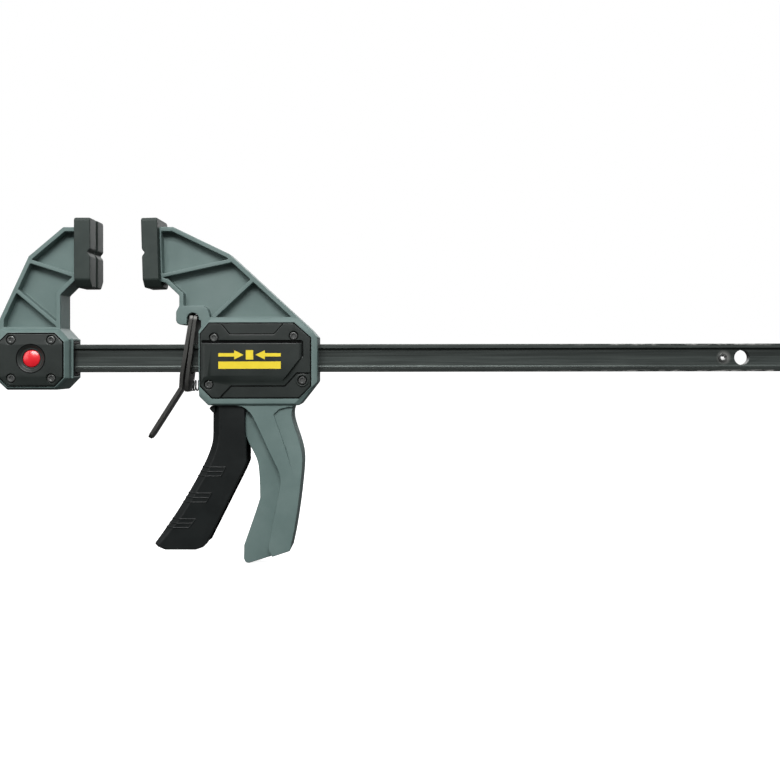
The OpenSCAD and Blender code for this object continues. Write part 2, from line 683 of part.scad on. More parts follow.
recess_fade = [-62, -84]; // heights between which the recess runs out to nothing
drive_window = [
    [bay_x0, -bay_z], [bay_x1, -bay_z], [bay_x1, bay_z], [bay_x0, bay_z]
];

module head_body() {
    color("#74837f") difference() {
        union() {
            centred_slab(head_arm, arm_width);
            loft([[-rim_y, head_rim], [-head_width / 2, head_block],
                [head_width / 2, head_block], [rim_y, head_rim]]);
            on_moving_jaw() block([pad_back_x - tongue_length, -tongue_width / 2, tongue_z0]
                - [pad_back_x, 0, 0], [1, tongue_width / 2, tongue_z1]);
            difference() {
                centred_slab(handle_thick, handle_width);
                for (side = [0, 1]) mirror([0, side, 0]) intersection() {
                    slab(thumb_recess, -handle_width, 0);
                    translate([head_x0, -handle_width / 2, 0]) rotate([90, 0, 90])
                        linear_extrude(height = 2 * head_length) polygon([
                            [recess_depth, 0], [recess_depth, recess_fade[0]], [0, recess_fade[1]],
                            [-1, recess_fade[1]], [-1, 0]]);
                }
                intersection() {
                    cross_rod(pivot, handle_bay_r, -slot_half, slot_half);
                    block([head_x0, -slot_half, -handle_drop], [head_x1, slot_half, -head_drop]);
                }
            }
            centred_slab(handle_rib, handle_rib_width);
        }
        difference() {
            pockets(head_pocket);
            rib([pad_back_x + 0.5, throat_top_z + 13.3], [pad_back_x + 50.4, throat_top_z + 24.1], arm_width);
            rib([head_x0 + 10.6, 29.2], [head_x0 + 39.1, 55.8], arm_width);
            centred_slab(notch_ground, arm_width);
        }
        cross_rod(lever_pivot, notch_r, -arm_width, arm_width);
        block([lever_pivot[0] - notch_r + tiny, -arm_width, lever_pivot[1] - 8],
            [head_face_x + 0.7 + tiny, arm_width, lever_pivot[1] - 1]);
        for (side = [0, 1]) mirror([0, side, 0])
            slab(inset(head_cover, -seat_gap), -rim_y - 1, -seat_y);
        centred_slab(drive_window, cover_seat_span + tiny);
        block([bay_x0, -slot_half, tongue_bottom_z - 3], [drive_x0 + drive_stack + 4, slot_half, 0]);
        block([trigger_bay_x0, -slot_half, -head_drop - 1],
            [pivot[0] + 14.6, slot_half, -half_bar - 0.8]);
        cross_rod(pivot, norm(lobe - pivot) + lobe_r + side_gap, -slot_half, slot_half);
        bar_passage(head_x0 - 1, bay_x1 + 1);
        bar_passage(bay_x1 - 1, head_x1 + 1, keyed = true);
        cross_rod(pivot, pivot_pin_d / 2 + pin_gap, -seat_y - 1, seat_y + 1);
        translate([head_x0 - 1, 0, brake_spring_z]) rotate([0, 90, 0])
            cylinder(h = brake_seat_depth + 1, r = brake_seat_r);
        for (at = head_screws) screw_holes(at);
    }
}

// The raised panel over the drive spring: sloped at its left end and along its lower edge.
module head_panel() {
    face_y = -cover_y - panel_height;
    left = head_x0 + 3.4;
    right = head_x1 - 11;
    outline = [[left, -16.4], [right - 13.6, -16.4], [right, 1], [right, 10.4], [left, 10.4]];
    low_section = [[-cover_y + 1, -16.4], [-cover_y, -16.4], [face_y, -12.2], [face_y, 10.4],
        [-cover_y + 1, 10.4]];
    left_section = [[left, -cover_y], [left + 1.6, -cover_y - 0.62 * panel_height],
        [left + 4.2, -cover_y - 0.92 * panel_height], [left + 7.5, face_y],
        [right - 1.6, face_y], [right, -cover_y - 0.3 * panel_height], [right, -cover_y + 1],
        [left, -cover_y + 1]];
    intersection() {
        slab(outline, face_y, -cover_y + 0.5);
        translate([head_x0, 0, 0]) rotate([90, 0, 90])
            linear_extrude(height = head_length) polygon(low_section);
        translate([0, 0, -20]) linear_extrude(height = 40) polygon(left_section);
    }
}

// The groove along the panel's upper edge and down its right side.
module panel_groove() {
    left = head_x0 + 3.5;
    right = head_x1 - 11;
    slab([[left, 10.4], [right, 10.4], [right, 1], [right + 1.2, 0.4], [right + 1.2, 11.4],
        [right - 0.2, 12.8], [left, 12.8]], -cover_y - 1, -cover_y + groove_drop);
}

module head_cover_plate() {
    step = 0.8;
    upper_step = [[head_x0 + 15.4, 26], [head_x0 + 23.2, 16.6], [head_x0 + 54.7, 16.6],
        [head_x0 + 63.2, 26]];
    lower_step = [[head_x0 + 15, -29], [head_x0 + 24.2, -19.3], [head_x0 + 62.2, -19.3],
        [head_x0 + 70.5, -10.2], [head_x1, -10.2], [head_x1, -29]];
    color("#2f3433") difference() {
        union() {
            slab(head_cover, -cover_y, -seat_y);
            head_panel();
        }
        difference() {
            union() {
                slab(upper_step, -cover_y - 1, -cover_y + step);
                slab(lower_step, -cover_y - 1, -cover_y + step);
            }
            cross_rod(head_screws[3], screw_head_d / 2 + 1.6, -cover_y - 2, 0);
        }
        panel_groove();
        for (at = head_screws) screw_holes(at);
    }
}

module head_front_cover() {
    head_cover_plate();
}

module head_back_cover() {
    mirror([0, 1, 0]) head_cover_plate();
}

module head_front_screws() {
    for (at = head_screws) cover_screw(at, -1);
}

module head_back_screws() {
    for (at = head_screws) cover_screw(at, 1);
}

module trigger_pin() {
    color("silver") cross_rod(pivot, pivot_pin_d / 2, -seat_y + 0.1, seat_y - 0.1);
}

// --- Trigger -----------------------------------------------------------------

trigger_finger = smooth([
    [head_x0 + 10.2, -head_drop - 0.4], [head_x0 + 10.1, -46], [head_x0 + 9.8, -57.5],
    [head_x0 + 7.8, -65.5], [head_x0 + 3.1, -76.5], [head_x0 - 6.8, -94.7],
    [head_x0 - 18.6, -trigger_drop + 23.2], [head_x0 - 31.9, -trigger_drop + 4.5]
]);
trigger_end = [
    [head_x0 - 29.2, -trigger_drop + 1.9], [head_x0 - 24.6, -trigger_drop],
    [head_x0 - 2.2, -trigger_drop], [head_x0 + 2.6, -trigger_drop + 1.6],
    [head_x0 + 6.6, -trigger_drop + 4.9]
];
trigger_rear = smooth([
    [head_x0 + 8.7, -trigger_drop + 9.3], [head_x0 + 21.6, -trigger_drop + 34.8],
    [head_x0 + 33.9, -77.2], [head_x0 + 35.1, -70.5],
    [head_x0 + 34.9, -62], [head_x0 + 34.2, -53.2], [head_x0 + 34, -43], [head_x0 + 34, -head_drop]
]);
trigger_outline = concat(trigger_finger, trigger_end, trigger_rear);
// The pointed ear that the trigger rests with under the head.
trigger_ear = [
    [head_x0 + 12, -head_drop - 0.4], [head_x0 + 9.4, -head_drop - 0.4], [head_x0 + 7.8, -head_drop - 2.2],
    [head_x0 + 10.3, -head_drop - 5.2], [head_x0 + 12, -head_drop - 5.2]
];
finger_edges = len(trigger_finger) - 1;
trigger_chamfer = [for (i = [0 : len(trigger_outline) - 1])
    i < finger_edges ? min(5, 3 + 0.4 * (finger_edges - 1 - i))
    : i == finger_edges ? 2.2
    : i == finger_edges + 1 ? 1.5
    : i == len(trigger_outline) - 1 ? 0 : 0.8];

module trigger() {
    half = trigger_width / 2;
    inner = half - trigger_side_wall;
    wall = inset(trigger_outline, [for (i = [0 : len(trigger_outline) - 1])
        i < finger_edges ? trigger_front_wall : 3]);
    channel = concat([[head_x0 + 16, -10]], [for (i = [0 : finger_edges]) wall[i]],
        [wall[finger_edges + 2], wall[finger_edges + 3], [head_x0 + 60, -trigger_drop + 3],
         [head_x0 + 60, -10]]);
    color("#1c1e1f") difference() {
        union() {
            difference() {
                union() {
                    loft([[-half, inset(trigger_outline, trigger_chamfer)],
                        [-half + 5, trigger_outline], [half - 5, trigger_outline],
                        [half, inset(trigger_outline, trigger_chamfer)]], ribbon = true);
                    centred_slab([[pivot[0] - hub_r + 0.5, pivot[1] + 1.5],
                        [pivot[0] - hub_r + 0.5, -head_drop - 4], [head_x0 + 32, -head_drop - 4],
                        [pivot[0] + hub_r - 0.5, pivot[1] + 1.5]], trigger_width - 1);
                    centred_slab(trigger_ear, trigger_width - 2);
                    cross_rod(pivot, hub_r, -half + 0.4, half - 0.4);
                }
                slab(channel, -inner, inner);
            }
            cross_rod(lobe, lobe_r, -inner - 1, inner + 1);
        }
        cross_rod(pivot, pivot_pin_d / 2 + pin_gap, -half - 1, half + 1);
    }
}

// --- Plates ------------------------------------------------------------------

module drive_plates() {
    half = drive_plate_width / 2;
    top = bay_z - 0.8;
    corner = 2.4;
    foot = 6; // half the width of the tongue that the trigger's lobe pushes
    outline = [[-foot, tongue_bottom_z], [foot, tongue_bottom_z], [foot, -top - 1.6],
        [half, -top + 0.8], [half, top - corner], [half - corner, top], [-half + corner, top],
        [-half, top - corner], [-half, -top + 0.8], [-foot, -top - 1.6]];
    color("silver") for (i = [0, 1]) translate([drive_x0 + i * drive_plate_thickness, 0, 0])
        difference() {
            rotate([90, 0, 90]) linear_extrude(height = drive_plate_thickness) polygon(outline);
            block([-1, -window_half_y, -window_half_z],
                [drive_plate_thickness + 1, window_half_y, window_half_z]);
        }
}

module spring_washer() {
    color("silver") difference() {
        translate([bay_x1 - washer_thickness, 0, 0]) rotate([0, 90, 0])
            cylinder(h = washer_thickness, r = drive_spring_d / 2 + 0.4, $fn = 64);
        translate([bay_x1 - washer_thickness - 1, 0, 0]) rotate([0, 90, 0])
            cylinder(h = washer_thickness + 2, r = norm([half_bar, bar_width / 2]) + bar_gap, $fn = 64);
    }
}

module drive_spring() {
    x0 = drive_x0 + drive_stack + spring_gap;
    x1 = bay_x1 - washer_thickness - spring_gap;
    color("gainsboro") translate([x0, 0, 0]) rotate([0, 90, 0])
        coil(drive_spring_d, drive_wire_d, x1 - x0, 6, rings = 20);
}

// Places a plate that hangs from the lever's pivot: its own frame has x across the plates'
// joint and z up from the pivot. The plates meet at their upper ends and lean by their angle.
module from_lever_pivot(lean) {
    translate([lever_pivot[0], 0, lever_pivot[1]]) rotate([0, brake_lean, 0])
        translate([0, 0, brake_top]) rotate([0, lean - brake_lean, 0]) translate([0, 0, -brake_top])
        children();
}

// The window that a plate needs around the bar while it leans by up to the given angle.
module brake_window(lean) {
    middle = -lever_pivot[1] / cos(lean);
    half = half_bar / cos(lean) + brake_plate_thickness * tan(lean) + 0.5;
    block([-10, -window_half_y, middle - half], [10, window_half_y, middle + half]);
}

function brake_outline(foot, foot_half) = let (half = brake_plate_width / 2) [
    [-foot_half, foot], [foot_half, foot], [half, foot + half - foot_half + 4], [half, -1],
    [half - 1.5, brake_top], [-half + 1.5, brake_top], [-half, -1],
    [-half, foot + half - foot_half + 4]
];

module brake_plate() {
    foot = -(lever_pivot[1] - brake_spring_z) - 4.6;
    color("#3a3c3c") from_lever_pivot(brake_lean) difference() {
        rotate([90, 0, 90]) linear_extrude(height = brake_plate_thickness)
            polygon(brake_outline(foot, 7));
        brake_window(brake_lean);
    }
}

// The outer brake plate, bent at its foot into the tail that a finger pulls.
module release_lever() {
    bend_z = -(lever_pivot[1] - brake_spring_z) - 2;
    bend_r = 1.5;
    half = lever_tail_width / 2;
    corner = 3;
    turn = lever_tail_angle - lever_lean;
    centre = [-brake_plate_thickness - bend_r, bend_z];
    arc = [for (i = [0 : 6]) turn * i / 6];
    bend = concat(
        [[0, bend_z + tiny], [-brake_plate_thickness, bend_z + tiny]],
        [for (a = arc) centre + bend_r * [cos(a), -sin(a)]],
        [for (i = [6 : -1 : 0]) centre + (bend_r + brake_plate_thickness) * [cos(arc[i]), -sin(arc[i])]]);
    color("#3a3c3c") from_lever_pivot(lever_lean) union() {
        difference() {
            translate([-brake_plate_thickness, 0, 0]) rotate([90, 0, 90])
                linear_extrude(height = brake_plate_thickness)
                polygon(brake_outline(bend_z, half));
            brake_window(lever_lean);
        }
        centred_slab(bend, lever_tail_width);
        translate([centre[0], 0, bend_z]) rotate([0, turn, 0]) translate([bend_r, 0, 0])
            rotate([90, 0, 90]) linear_extrude(height = brake_plate_thickness) polygon([
                [-half, tiny], [-half, -lever_tail_length + corner],
                [-half + corner, -lever_tail_length], [half - corner, -lever_tail_length],
                [half, -lever_tail_length + corner], [half, tiny]]);
    }
}

module brake_spring() {
    x0 = lever_pivot[0] - (lever_pivot[1] - brake_spring_z - brake_spring_d / 2) * tan(brake_lean)
        + brake_plate_thickness / cos(brake_lean) + spring_gap;
    color("gainsboro") translate([x0, 0, brake_spring_z]) rotate([0, 90, 0])
        coil(brake_spring_d, brake_wire_d, head_x0 + brake_seat_depth - spring_gap - x0, 5);
}

// --- Assembly ----------------------------------------------------------------

bar();
stop_pins();
fixed_jaw();
fixed_pad();
bar_sleeve();
fixed_front_cover();
fixed_back_cover();
fixed_front_screws();
fixed_back_screws();
latch_button();
latch_yoke();
latch_spring();
head_body();
moving_pad();
head_front_cover();
head_back_cover();
head_front_screws();
head_back_screws();
trigger_pin();
trigger();
drive_plates();
drive_spring();
spring_washer();
release_lever();
brake_plate();
brake_spring();
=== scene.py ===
# %% [markdown]
# # Dressing a quick release bar clamp
# The clamp's solids come from its CAD model: bar, jaws, covers, trigger, plates and springs,
# each at its real size and place. This lesson gives them the look of the real thing: rounded
# moulding edges, black oxide on the steel, fine spark texture on the nylon, and the small
# details that a mould maker adds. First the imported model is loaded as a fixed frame.

# %% Load the clamp
import json
import math

import bmesh
import bpy
from mathutils import Matrix, Vector
from mathutils.bvhtree import BVHTree
from mathutils.geometry import delaunay_2d_cdt


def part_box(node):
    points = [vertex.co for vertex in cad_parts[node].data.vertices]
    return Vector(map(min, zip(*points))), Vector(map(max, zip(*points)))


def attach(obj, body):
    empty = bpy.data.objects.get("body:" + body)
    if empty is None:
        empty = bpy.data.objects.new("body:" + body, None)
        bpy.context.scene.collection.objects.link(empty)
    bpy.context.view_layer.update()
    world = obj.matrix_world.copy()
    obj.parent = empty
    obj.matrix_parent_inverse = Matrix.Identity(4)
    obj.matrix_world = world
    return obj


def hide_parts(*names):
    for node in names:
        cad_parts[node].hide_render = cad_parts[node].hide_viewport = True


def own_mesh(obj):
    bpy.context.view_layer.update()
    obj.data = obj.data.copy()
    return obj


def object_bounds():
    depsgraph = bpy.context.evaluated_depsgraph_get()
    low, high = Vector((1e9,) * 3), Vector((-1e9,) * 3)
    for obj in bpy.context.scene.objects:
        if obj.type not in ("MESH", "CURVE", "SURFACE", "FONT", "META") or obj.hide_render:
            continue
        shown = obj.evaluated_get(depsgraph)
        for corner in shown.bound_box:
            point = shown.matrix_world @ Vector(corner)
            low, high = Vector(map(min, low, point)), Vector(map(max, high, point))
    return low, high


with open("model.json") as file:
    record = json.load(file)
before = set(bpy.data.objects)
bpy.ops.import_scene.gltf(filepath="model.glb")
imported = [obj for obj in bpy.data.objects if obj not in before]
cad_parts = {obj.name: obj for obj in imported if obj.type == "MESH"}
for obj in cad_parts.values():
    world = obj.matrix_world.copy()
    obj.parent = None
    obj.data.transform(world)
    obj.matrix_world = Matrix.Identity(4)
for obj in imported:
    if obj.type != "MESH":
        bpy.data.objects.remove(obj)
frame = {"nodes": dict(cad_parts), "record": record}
cad_box = [list(corner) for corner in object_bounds()]
MM = 0.001
print("The clamp measures", [round((b - a) / MM, 1) for a, b in zip(*cad_box)], "mm")

# %% [markdown]
# ## The camera
# The camera looks level along +Y. Its axis runs through the bar's height, and a small vertical
# shift keeps the upright jaws and handle free of converging lines. A camera that is turned down
# instead would frame the clamp as well, but the uprights would lean together.

# %% Camera
FRAME_W, FRAME_H = 780, 781
PIXEL = 0.7228 * MM  # what one pixel covers in the bar's plane
CAMERA_DISTANCE = 0.765
CAMERA_X = 0.2117
CAMERA_ROLL = 0.09  # degrees
HORIZON_ROW = 358.0  # the row of pixels that lies level with the bar's centre line
SENSOR = 36.0


def add_camera():
    lens = bpy.data.cameras.new("camera")
    lens.sensor_width = SENSOR
    lens.lens = SENSOR * (CAMERA_DISTANCE / PIXEL) / max(FRAME_W, FRAME_H)
    lens.shift_y = -(FRAME_H / 2 - HORIZON_ROW) / max(FRAME_W, FRAME_H)
    lens.clip_start, lens.clip_end = 0.01, 50
    camera = bpy.data.objects.new("camera", lens)
    camera.location = (CAMERA_X, -CAMERA_DISTANCE, 0)
    camera.rotation_euler = (math.radians(90), math.radians(CAMERA_ROLL), 0)
    bpy.context.scene.collection.objects.link(camera)
    bpy.context.scene.camera = camera
    print(f"The lens is {lens.lens:.1f} mm long")


add_camera()

# %% [markdown]
# ## Node networks that read like maths
# Materials and Geometry Nodes are both networks of nodes, and their sums are hard to read as
# code. `Wire` wraps one output, so that an expression such as `0.4 + 0.2 * noise` adds the Math
# nodes by itself. `Network.node` adds any other node: its type, its settings, then its inputs.

# %% Wires and networks
class Wire:
    """An output of a node. Sums on it add Math nodes to its network."""

    def __init__(self, network, socket):
        self.network, self.socket = network, socket

    def maths(self, operation, *values):
        return self.network.node("ShaderNodeMath", {"operation": operation},
                                 dict(enumerate(values)))

    def __add__(self, other):
        return self.maths("ADD", self, other)

    def __sub__(self, other):
        return self.maths("SUBTRACT", self, other)

    def __rsub__(self, other):
        return self.maths("SUBTRACT", other, self)

    def __mul__(self, other):
        return self.maths("MULTIPLY", self, other)

    def __truediv__(self, other):
        return self.maths("DIVIDE", self, other)

    __radd__ = __add__
    __rmul__ = __mul__

    def between(self, low, high):
        """0 below low, 1 above high and a smooth step between them."""
        return self.network.node("ShaderNodeMapRange", {"interpolation_type": "SMOOTHSTEP"},
                                 {"Value": self, "From Min": low, "From Max": high})

    def of(self, function):
        """A function of this value alone, such as its SINE or ABSOLUTE."""
        return self.maths(function, self)

    def at_most(self, other):
        return self.maths("MINIMUM", self, other)

    def at_least(self, other):
        return self.maths("MAXIMUM", self, other)


class Network:
    """A node tree under construction."""

    def __init__(self, tree):
        self.tree = tree

    def node(self, kind, settings=None, inputs=None, output=0):
        """Adds one node: its settings first, then values or wires on its inputs."""
        made = self.tree.nodes.new(kind)
        for name, value in (settings or {}).items():
            setattr(made, name, value)
        for name, value in (inputs or {}).items():
            self.feed(made.inputs[name], value)
        return Wire(self, made.outputs[output])

    def feed(self, socket, value):
        if isinstance(value, Wire):
            self.tree.links.new(value.socket, socket)
        elif isinstance(value, tuple) and socket.type == "RGBA" and len(value) == 3:
            socket.default_value = (*value, 1)
        else:
            socket.default_value = value


# %% [markdown]
# ## A finish
# Every material here is a Principled shader with a few wires into its base colour, roughness
# and normal. Each could be laid out by hand in the shader editor, but then a change to all of
# them is made a dozen times. `Finish` starts one and offers what they share: places on the
# object, noise, mixed colours and a bump.

# %% Finish
class Finish(Network):
    """A material under construction."""

    def __init__(self, name, **constants):
        self.material = bpy.data.materials.new(name)
        self.material.use_nodes = True
        super().__init__(self.material.node_tree)
        self.shader = self.tree.nodes["Principled BSDF"]
        for socket, value in constants.items():
            self.feed(self.shader.inputs[socket.replace("_", " ")], value)
        self.place = self.node("ShaderNodeTexCoord", output="Object")

    def set(self, **wires):
        """Feeds the shader's own sockets."""
        for socket, value in wires.items():
            self.feed(self.shader.inputs[socket.replace("_", " ")], value)

    def noise(self, per_metre, detail, stretch=None):
        """Cloudy noise from 0 to 1 with so many lumps to a metre."""
        place = self.place
        if stretch:
            place = self.node("ShaderNodeVectorMath", {"operation": "MULTIPLY"},
                              {0: place, 1: stretch})
        return self.node("ShaderNodeTexNoise", None, {
            "Vector": place, "Scale": per_metre, "Detail": detail, "Roughness": 0.55})

    def axes(self):
        split = self.node("ShaderNodeSeparateXYZ", None, {0: self.place})
        return [Wire(self, socket) for socket in split.socket.node.outputs]

    def mix(self, factor, low, high):
        """The colour low where factor is 0, and high where it is 1."""
        return self.node("ShaderNodeMix", {"data_type": "RGBA"}, {0: factor, 6: low, 7: high},
                         output=2)

    def bump(self, height, strength, depth):
        """A normal from a height between 0 and 1, which stands for a depth in metres."""
        return self.node("ShaderNodeBump", None, {"Height": height, "Strength": strength,
                                                  "Distance": depth})


# %% [markdown]
# ## Grey-green nylon
# The jaws, head and handle are moulded in glass-filled nylon. It is matt and a little cloudy,
# because the fibres lie differently as the melt flows, and its mould was spark eroded, which
# leaves a fine grain. A scanned image of the plastic could show all of this, but it needs a map
# of the surface and goes soft when seen close. Noise at three scales needs neither.

# %% Nylon
def make_nylon():
    finish = Finish("grey_nylon", IOR=1.5, Specular_IOR_Level=0.4)
    cloud = finish.noise(45, detail=4)
    grain = finish.noise(2600, detail=2)
    flow = finish.noise(18, detail=2, stretch=(1, 1, 0.35))
    tone = finish.mix(cloud.between(0.3, 0.7), (0.095, 0.143, 0.135), (0.113, 0.164, 0.155))
    color = finish.mix(flow.between(0.45, 0.75) * 0.35, tone, (0.127, 0.170, 0.163))
    finish.set(Base_Color=color, Roughness=0.47 + 0.12 * grain + 0.06 * cloud)
    finish.set(Normal=finish.bump(grain, 0.22, 0.00012))
    return finish.material


nylon = make_nylon()
print("made", nylon.name)

# %% [markdown]
# ## Dark plastics and rubber
# The covers, trigger, sleeve and pads are all nearly black, yet they read differently: the
# covers are satin, the trigger is a shade darker and smoother, and the pads are softer and
# greyer. One function makes them all from their colours, roughness and grain.

# %% Dark plastics
def make_dark_plastic(name, low, high, rough, grain_depth, gloss=0.3):
    finish = Finish(name, IOR=1.48, Specular_IOR_Level=gloss)
    cloud = finish.noise(60, detail=4)
    grain = finish.noise(2200, detail=2)
    scuffs = finish.noise(420, detail=5, stretch=(1, 1, 0.25)).between(0.62, 0.74)
    color = finish.mix(cloud.between(0.3, 0.7), low, high)
    finish.set(Base_Color=color, Roughness=rough + 0.10 * grain - 0.06 * scuffs)
    finish.set(Normal=finish.bump(grain, 0.2, grain_depth))
    return finish.material


cover_plastic = make_dark_plastic("cover_plastic", (0.012, 0.0160, 0.0145), (0.017, 0.022, 0.020),
                                  0.36, 0.00008, gloss=0.4)
trigger_plastic = make_dark_plastic("trigger_plastic", (0.0050, 0.0066, 0.0066),
                                    (0.0085, 0.0105, 0.0105), 0.34, 0.00006)
sleeve_plastic = make_dark_plastic("sleeve_plastic", (0.006, 0.007, 0.007),
                                   (0.010, 0.011, 0.011), 0.45, 0.00006)
pad_rubber = make_dark_plastic("pad_rubber", (0.020, 0.029, 0.026), (0.027, 0.037, 0.033),
                               0.50, 0.00014)
# seam_shadow is no plastic of the clamp: it is painted shade, for the thin plates in seams,
# grooves, counterbores and the hook's notch.
seam_shadow = make_dark_plastic("seam_shadow", (0.0012, 0.0014, 0.0014),
                                (0.0022, 0.0024, 0.0024), 0.80, 0.00003, gloss=0.1)
print("made", ", ".join(m.name for m in (cover_plastic, trigger_plastic, sleeve_plastic,
                                         pad_rubber, seam_shadow)))

# %% [markdown]
# ## Steels
# The bar is drawn steel with a black oxide skin: fine lines run along it, and its edges are
# worn bright where the head has slid. The brake plates have the same skin and are stamped, so
# their lines are finer. Springs, pins and the inner plates are left bare or zinc plated. Wear
# could be painted on by hand, but a formula for how close a place is to an edge or a pin puts
# it where parts really rub, and follows the bar if its size changes. Painted shade darkens the
# bar's colour too: on its lower lip, in a band under its upper lip and on the wall of its hole.

# %% Black oxide bar
PIN_RADIUS = 2 * MM
# HOLE_FROM_END, HOLE_REACH, LIP_Z and FOOT_Z place the painted shade in the bar's colour: in its
# hole, under its upper lip and on its lower lip.
HOLE_FROM_END = 33 * MM
HOLE_REACH = 5.5 * MM  # the hole's radius and a little more, so that its wall lies inside
LIP_Z = 7 * MM  # where the bar's upper lip ends and its web starts
FOOT_Z = -6.5 * MM


def away_from(x, z, spot):
    """How far a place is from the axis of a pin or hole that crosses the bar."""
    along = x - spot
    return (along * along + z * z).of("SQRT")


def make_bar_steel():
    finish = Finish("bar_steel", Metallic=0.7, IOR=1.6)
    x, _, z = finish.axes()
    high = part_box("bar")[1]
    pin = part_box("stop_pins")[1].x - PIN_RADIUS
    lines = finish.noise(900, detail=3, stretch=(0.02, 1, 1))
    blotch = finish.noise(30, detail=4, stretch=(0.5, 1, 1))
    specks = finish.noise(700, detail=5, stretch=(0.2, 1, 1)).between(0.46, 0.60)
    edge = z.of("ABSOLUTE").between(high.z - 1.6 * MM, high.z - 0.2 * MM)
    wear_length = x.between(high.x - 0.20, high.x - 0.06)
    rubbed = 0.35 * (3 * PIN_RADIUS - away_from(x, z, pin)).between(0, 2 * PIN_RADIUS)
    worn = (edge * (0.06 + 0.6 * wear_length) * specks + rubbed).at_most(1)
    skin = finish.mix(lines.between(0.35, 0.65), (0.044, 0.053, 0.050), (0.064, 0.076, 0.071))
    skin = finish.mix(blotch.between(0.5, 0.75) * 0.4, skin, (0.085, 0.100, 0.093))
    # Painted shade: the lower lip, a band under the upper lip and the hole's wall are darkened
    # towards near black where less light falls, and skin carries this shade from here on.
    foot_shade = (FOOT_Z - z).between(0, 0.4 * MM)
    lip_shade = z.between(0.5 * MM, 1.5 * MM) * (LIP_Z - z).between(0, 0.6 * MM)
    hole_shade = (HOLE_REACH - away_from(x, z, high.x - HOLE_FROM_END)).between(0, 0.1 * MM)
    dark = (0.60 * foot_shade + 0.40 * lip_shade + 0.85 * hole_shade).at_most(1)
    skin = finish.mix(dark, skin, (0.010, 0.012, 0.011))
    finish.set(Base_Color=finish.mix(worn, skin, (0.62, 0.62, 0.60)),
               Roughness=0.34 + 0.16 * lines - 0.08 * worn)
    finish.set(Normal=finish.bump(lines, 0.12, 0.00005))
    return finish.material


bar_steel = make_bar_steel()
print("made", bar_steel.name)


# %% Plain steels
def make_steel(name, low, high, rough, metallic=1.0, streak=(1, 1, 1)):
    finish = Finish(name, Metallic=metallic)
    lines = finish.noise(1100, detail=3, stretch=streak)
    cloud = finish.noise(140, detail=3)
    color = finish.mix(0.6 * lines + 0.4 * cloud, low, high)
    finish.set(Base_Color=color, Roughness=rough + 0.14 * lines)
    finish.set(Normal=finish.bump(lines, 0.1, 0.00004))
    return finish.material


pin_steel = make_steel("pin_steel", (0.32, 0.32, 0.31), (0.52, 0.52, 0.50), 0.26)
spring_steel = make_steel("spring_steel", (0.06, 0.06, 0.06), (0.16, 0.16, 0.16), 0.28)
zinc_steel = make_steel("zinc_steel", (0.42, 0.43, 0.43), (0.58, 0.58, 0.56), 0.30)
screw_steel = make_steel("screw_steel", (0.12, 0.125, 0.125), (0.28, 0.29, 0.28), 0.22, 0.95)
plate_steel = make_steel("plate_steel", (0.030, 0.030, 0.028), (0.10, 0.10, 0.095), 0.36, 0.7,
                         (1, 1, 0.06))
print("made", ", ".join(m.name for m in (pin_steel, spring_steel, zinc_steel, screw_steel,
                                         plate_steel)))

# %% [markdown]
# ## Red and yellow
# The latch button is glossy red plastic from a polished mould, and the pictogram is a layer of
# yellow ink. A low roughness alone would make the button look wet all over. A clear coat above
# a duller base gives it the soft shine and the small sharp gleam of the real one.

# %% Red button and yellow print
def make_gloss(name, low, high, rough, coat):
    finish = Finish(name, IOR=1.49, Coat_Roughness=0.16, Coat_Weight=coat)
    swirl = finish.noise(160, detail=2)
    finish.set(Base_Color=finish.mix(swirl, low, high), Roughness=rough + 0.05 * swirl)
    return finish.material


red_plastic = make_gloss("red_plastic", (0.60, 0.006, 0.014), (0.74, 0.014, 0.026), 0.30, 0.6)
yellow_print = make_gloss("yellow_print", (0.64, 0.49, 0.014), (0.74, 0.58, 0.026), 0.42, 0.0)
print("made", red_plastic.name, "and", yellow_print.name)

# %% [markdown]
# ## Rounding the edges
# CAD edges are razor sharp, and real ones never are: it is the round that catches the light and
# draws the fine bright lines around every moulding. The Bevel modifier can round each edge by
# its own weight, which suits a moulding with ribs and pockets: an edge with little room around
# it gets a smaller round, and nothing folds over. The CAD triangles are first joined into whole
# flat faces. Where a face has a hole, chance edges join the hole to the outline, so straight
# cuts through the hole's middle take their place.

# %% Whole flat faces
WELD = 1e-6
LEVEL = math.radians(0.1)  # faces that fold less than this are one flat face
TURNS = 60


def flatten(skin):
    bmesh.ops.dissolve_limit(skin, angle_limit=LEVEL, verts=skin.verts, edges=skin.edges,
                             delimit={"SEAM"})


def in_order(items):
    """Each item once, in order. A set would mix them, and give other cuts at each run."""
    return list(dict.fromkeys(items))


def is_chance(edge):
    """Whether an edge lies inside a flat face, and no cut of ours made it."""
    return not edge.seam and edge.is_manifold and edge.calc_face_angle(0) < LEVEL


def flat_region(edge):
    """All faces that share one flat face with this edge."""
    region, queue = dict.fromkeys(edge.link_faces), list(edge.link_faces)
    while queue:
        for side in queue.pop().edges:
            if is_chance(side):
                fresh = [face for face in side.link_faces if face not in region]
                region.update(dict.fromkeys(fresh))
                queue.extend(fresh)
    return list(region)


def outlines_of(region):
    """The closed outlines around a flat region, the longest first."""
    loose = dict.fromkeys(edge for face in region for edge in face.edges if not is_chance(edge))
    outlines = []
    while loose:
        outline, queue = [], [loose.popitem()[0]]
        while queue:
            edge = queue.pop()
            outline.append(edge)
            for near in in_order(n for v in edge.verts for n in v.link_edges if n in loose):
                del loose[near]
                queue.append(near)
        outlines.append(outline)
    return sorted(outlines, key=lambda outline: -sum(e.calc_length() for e in outline))


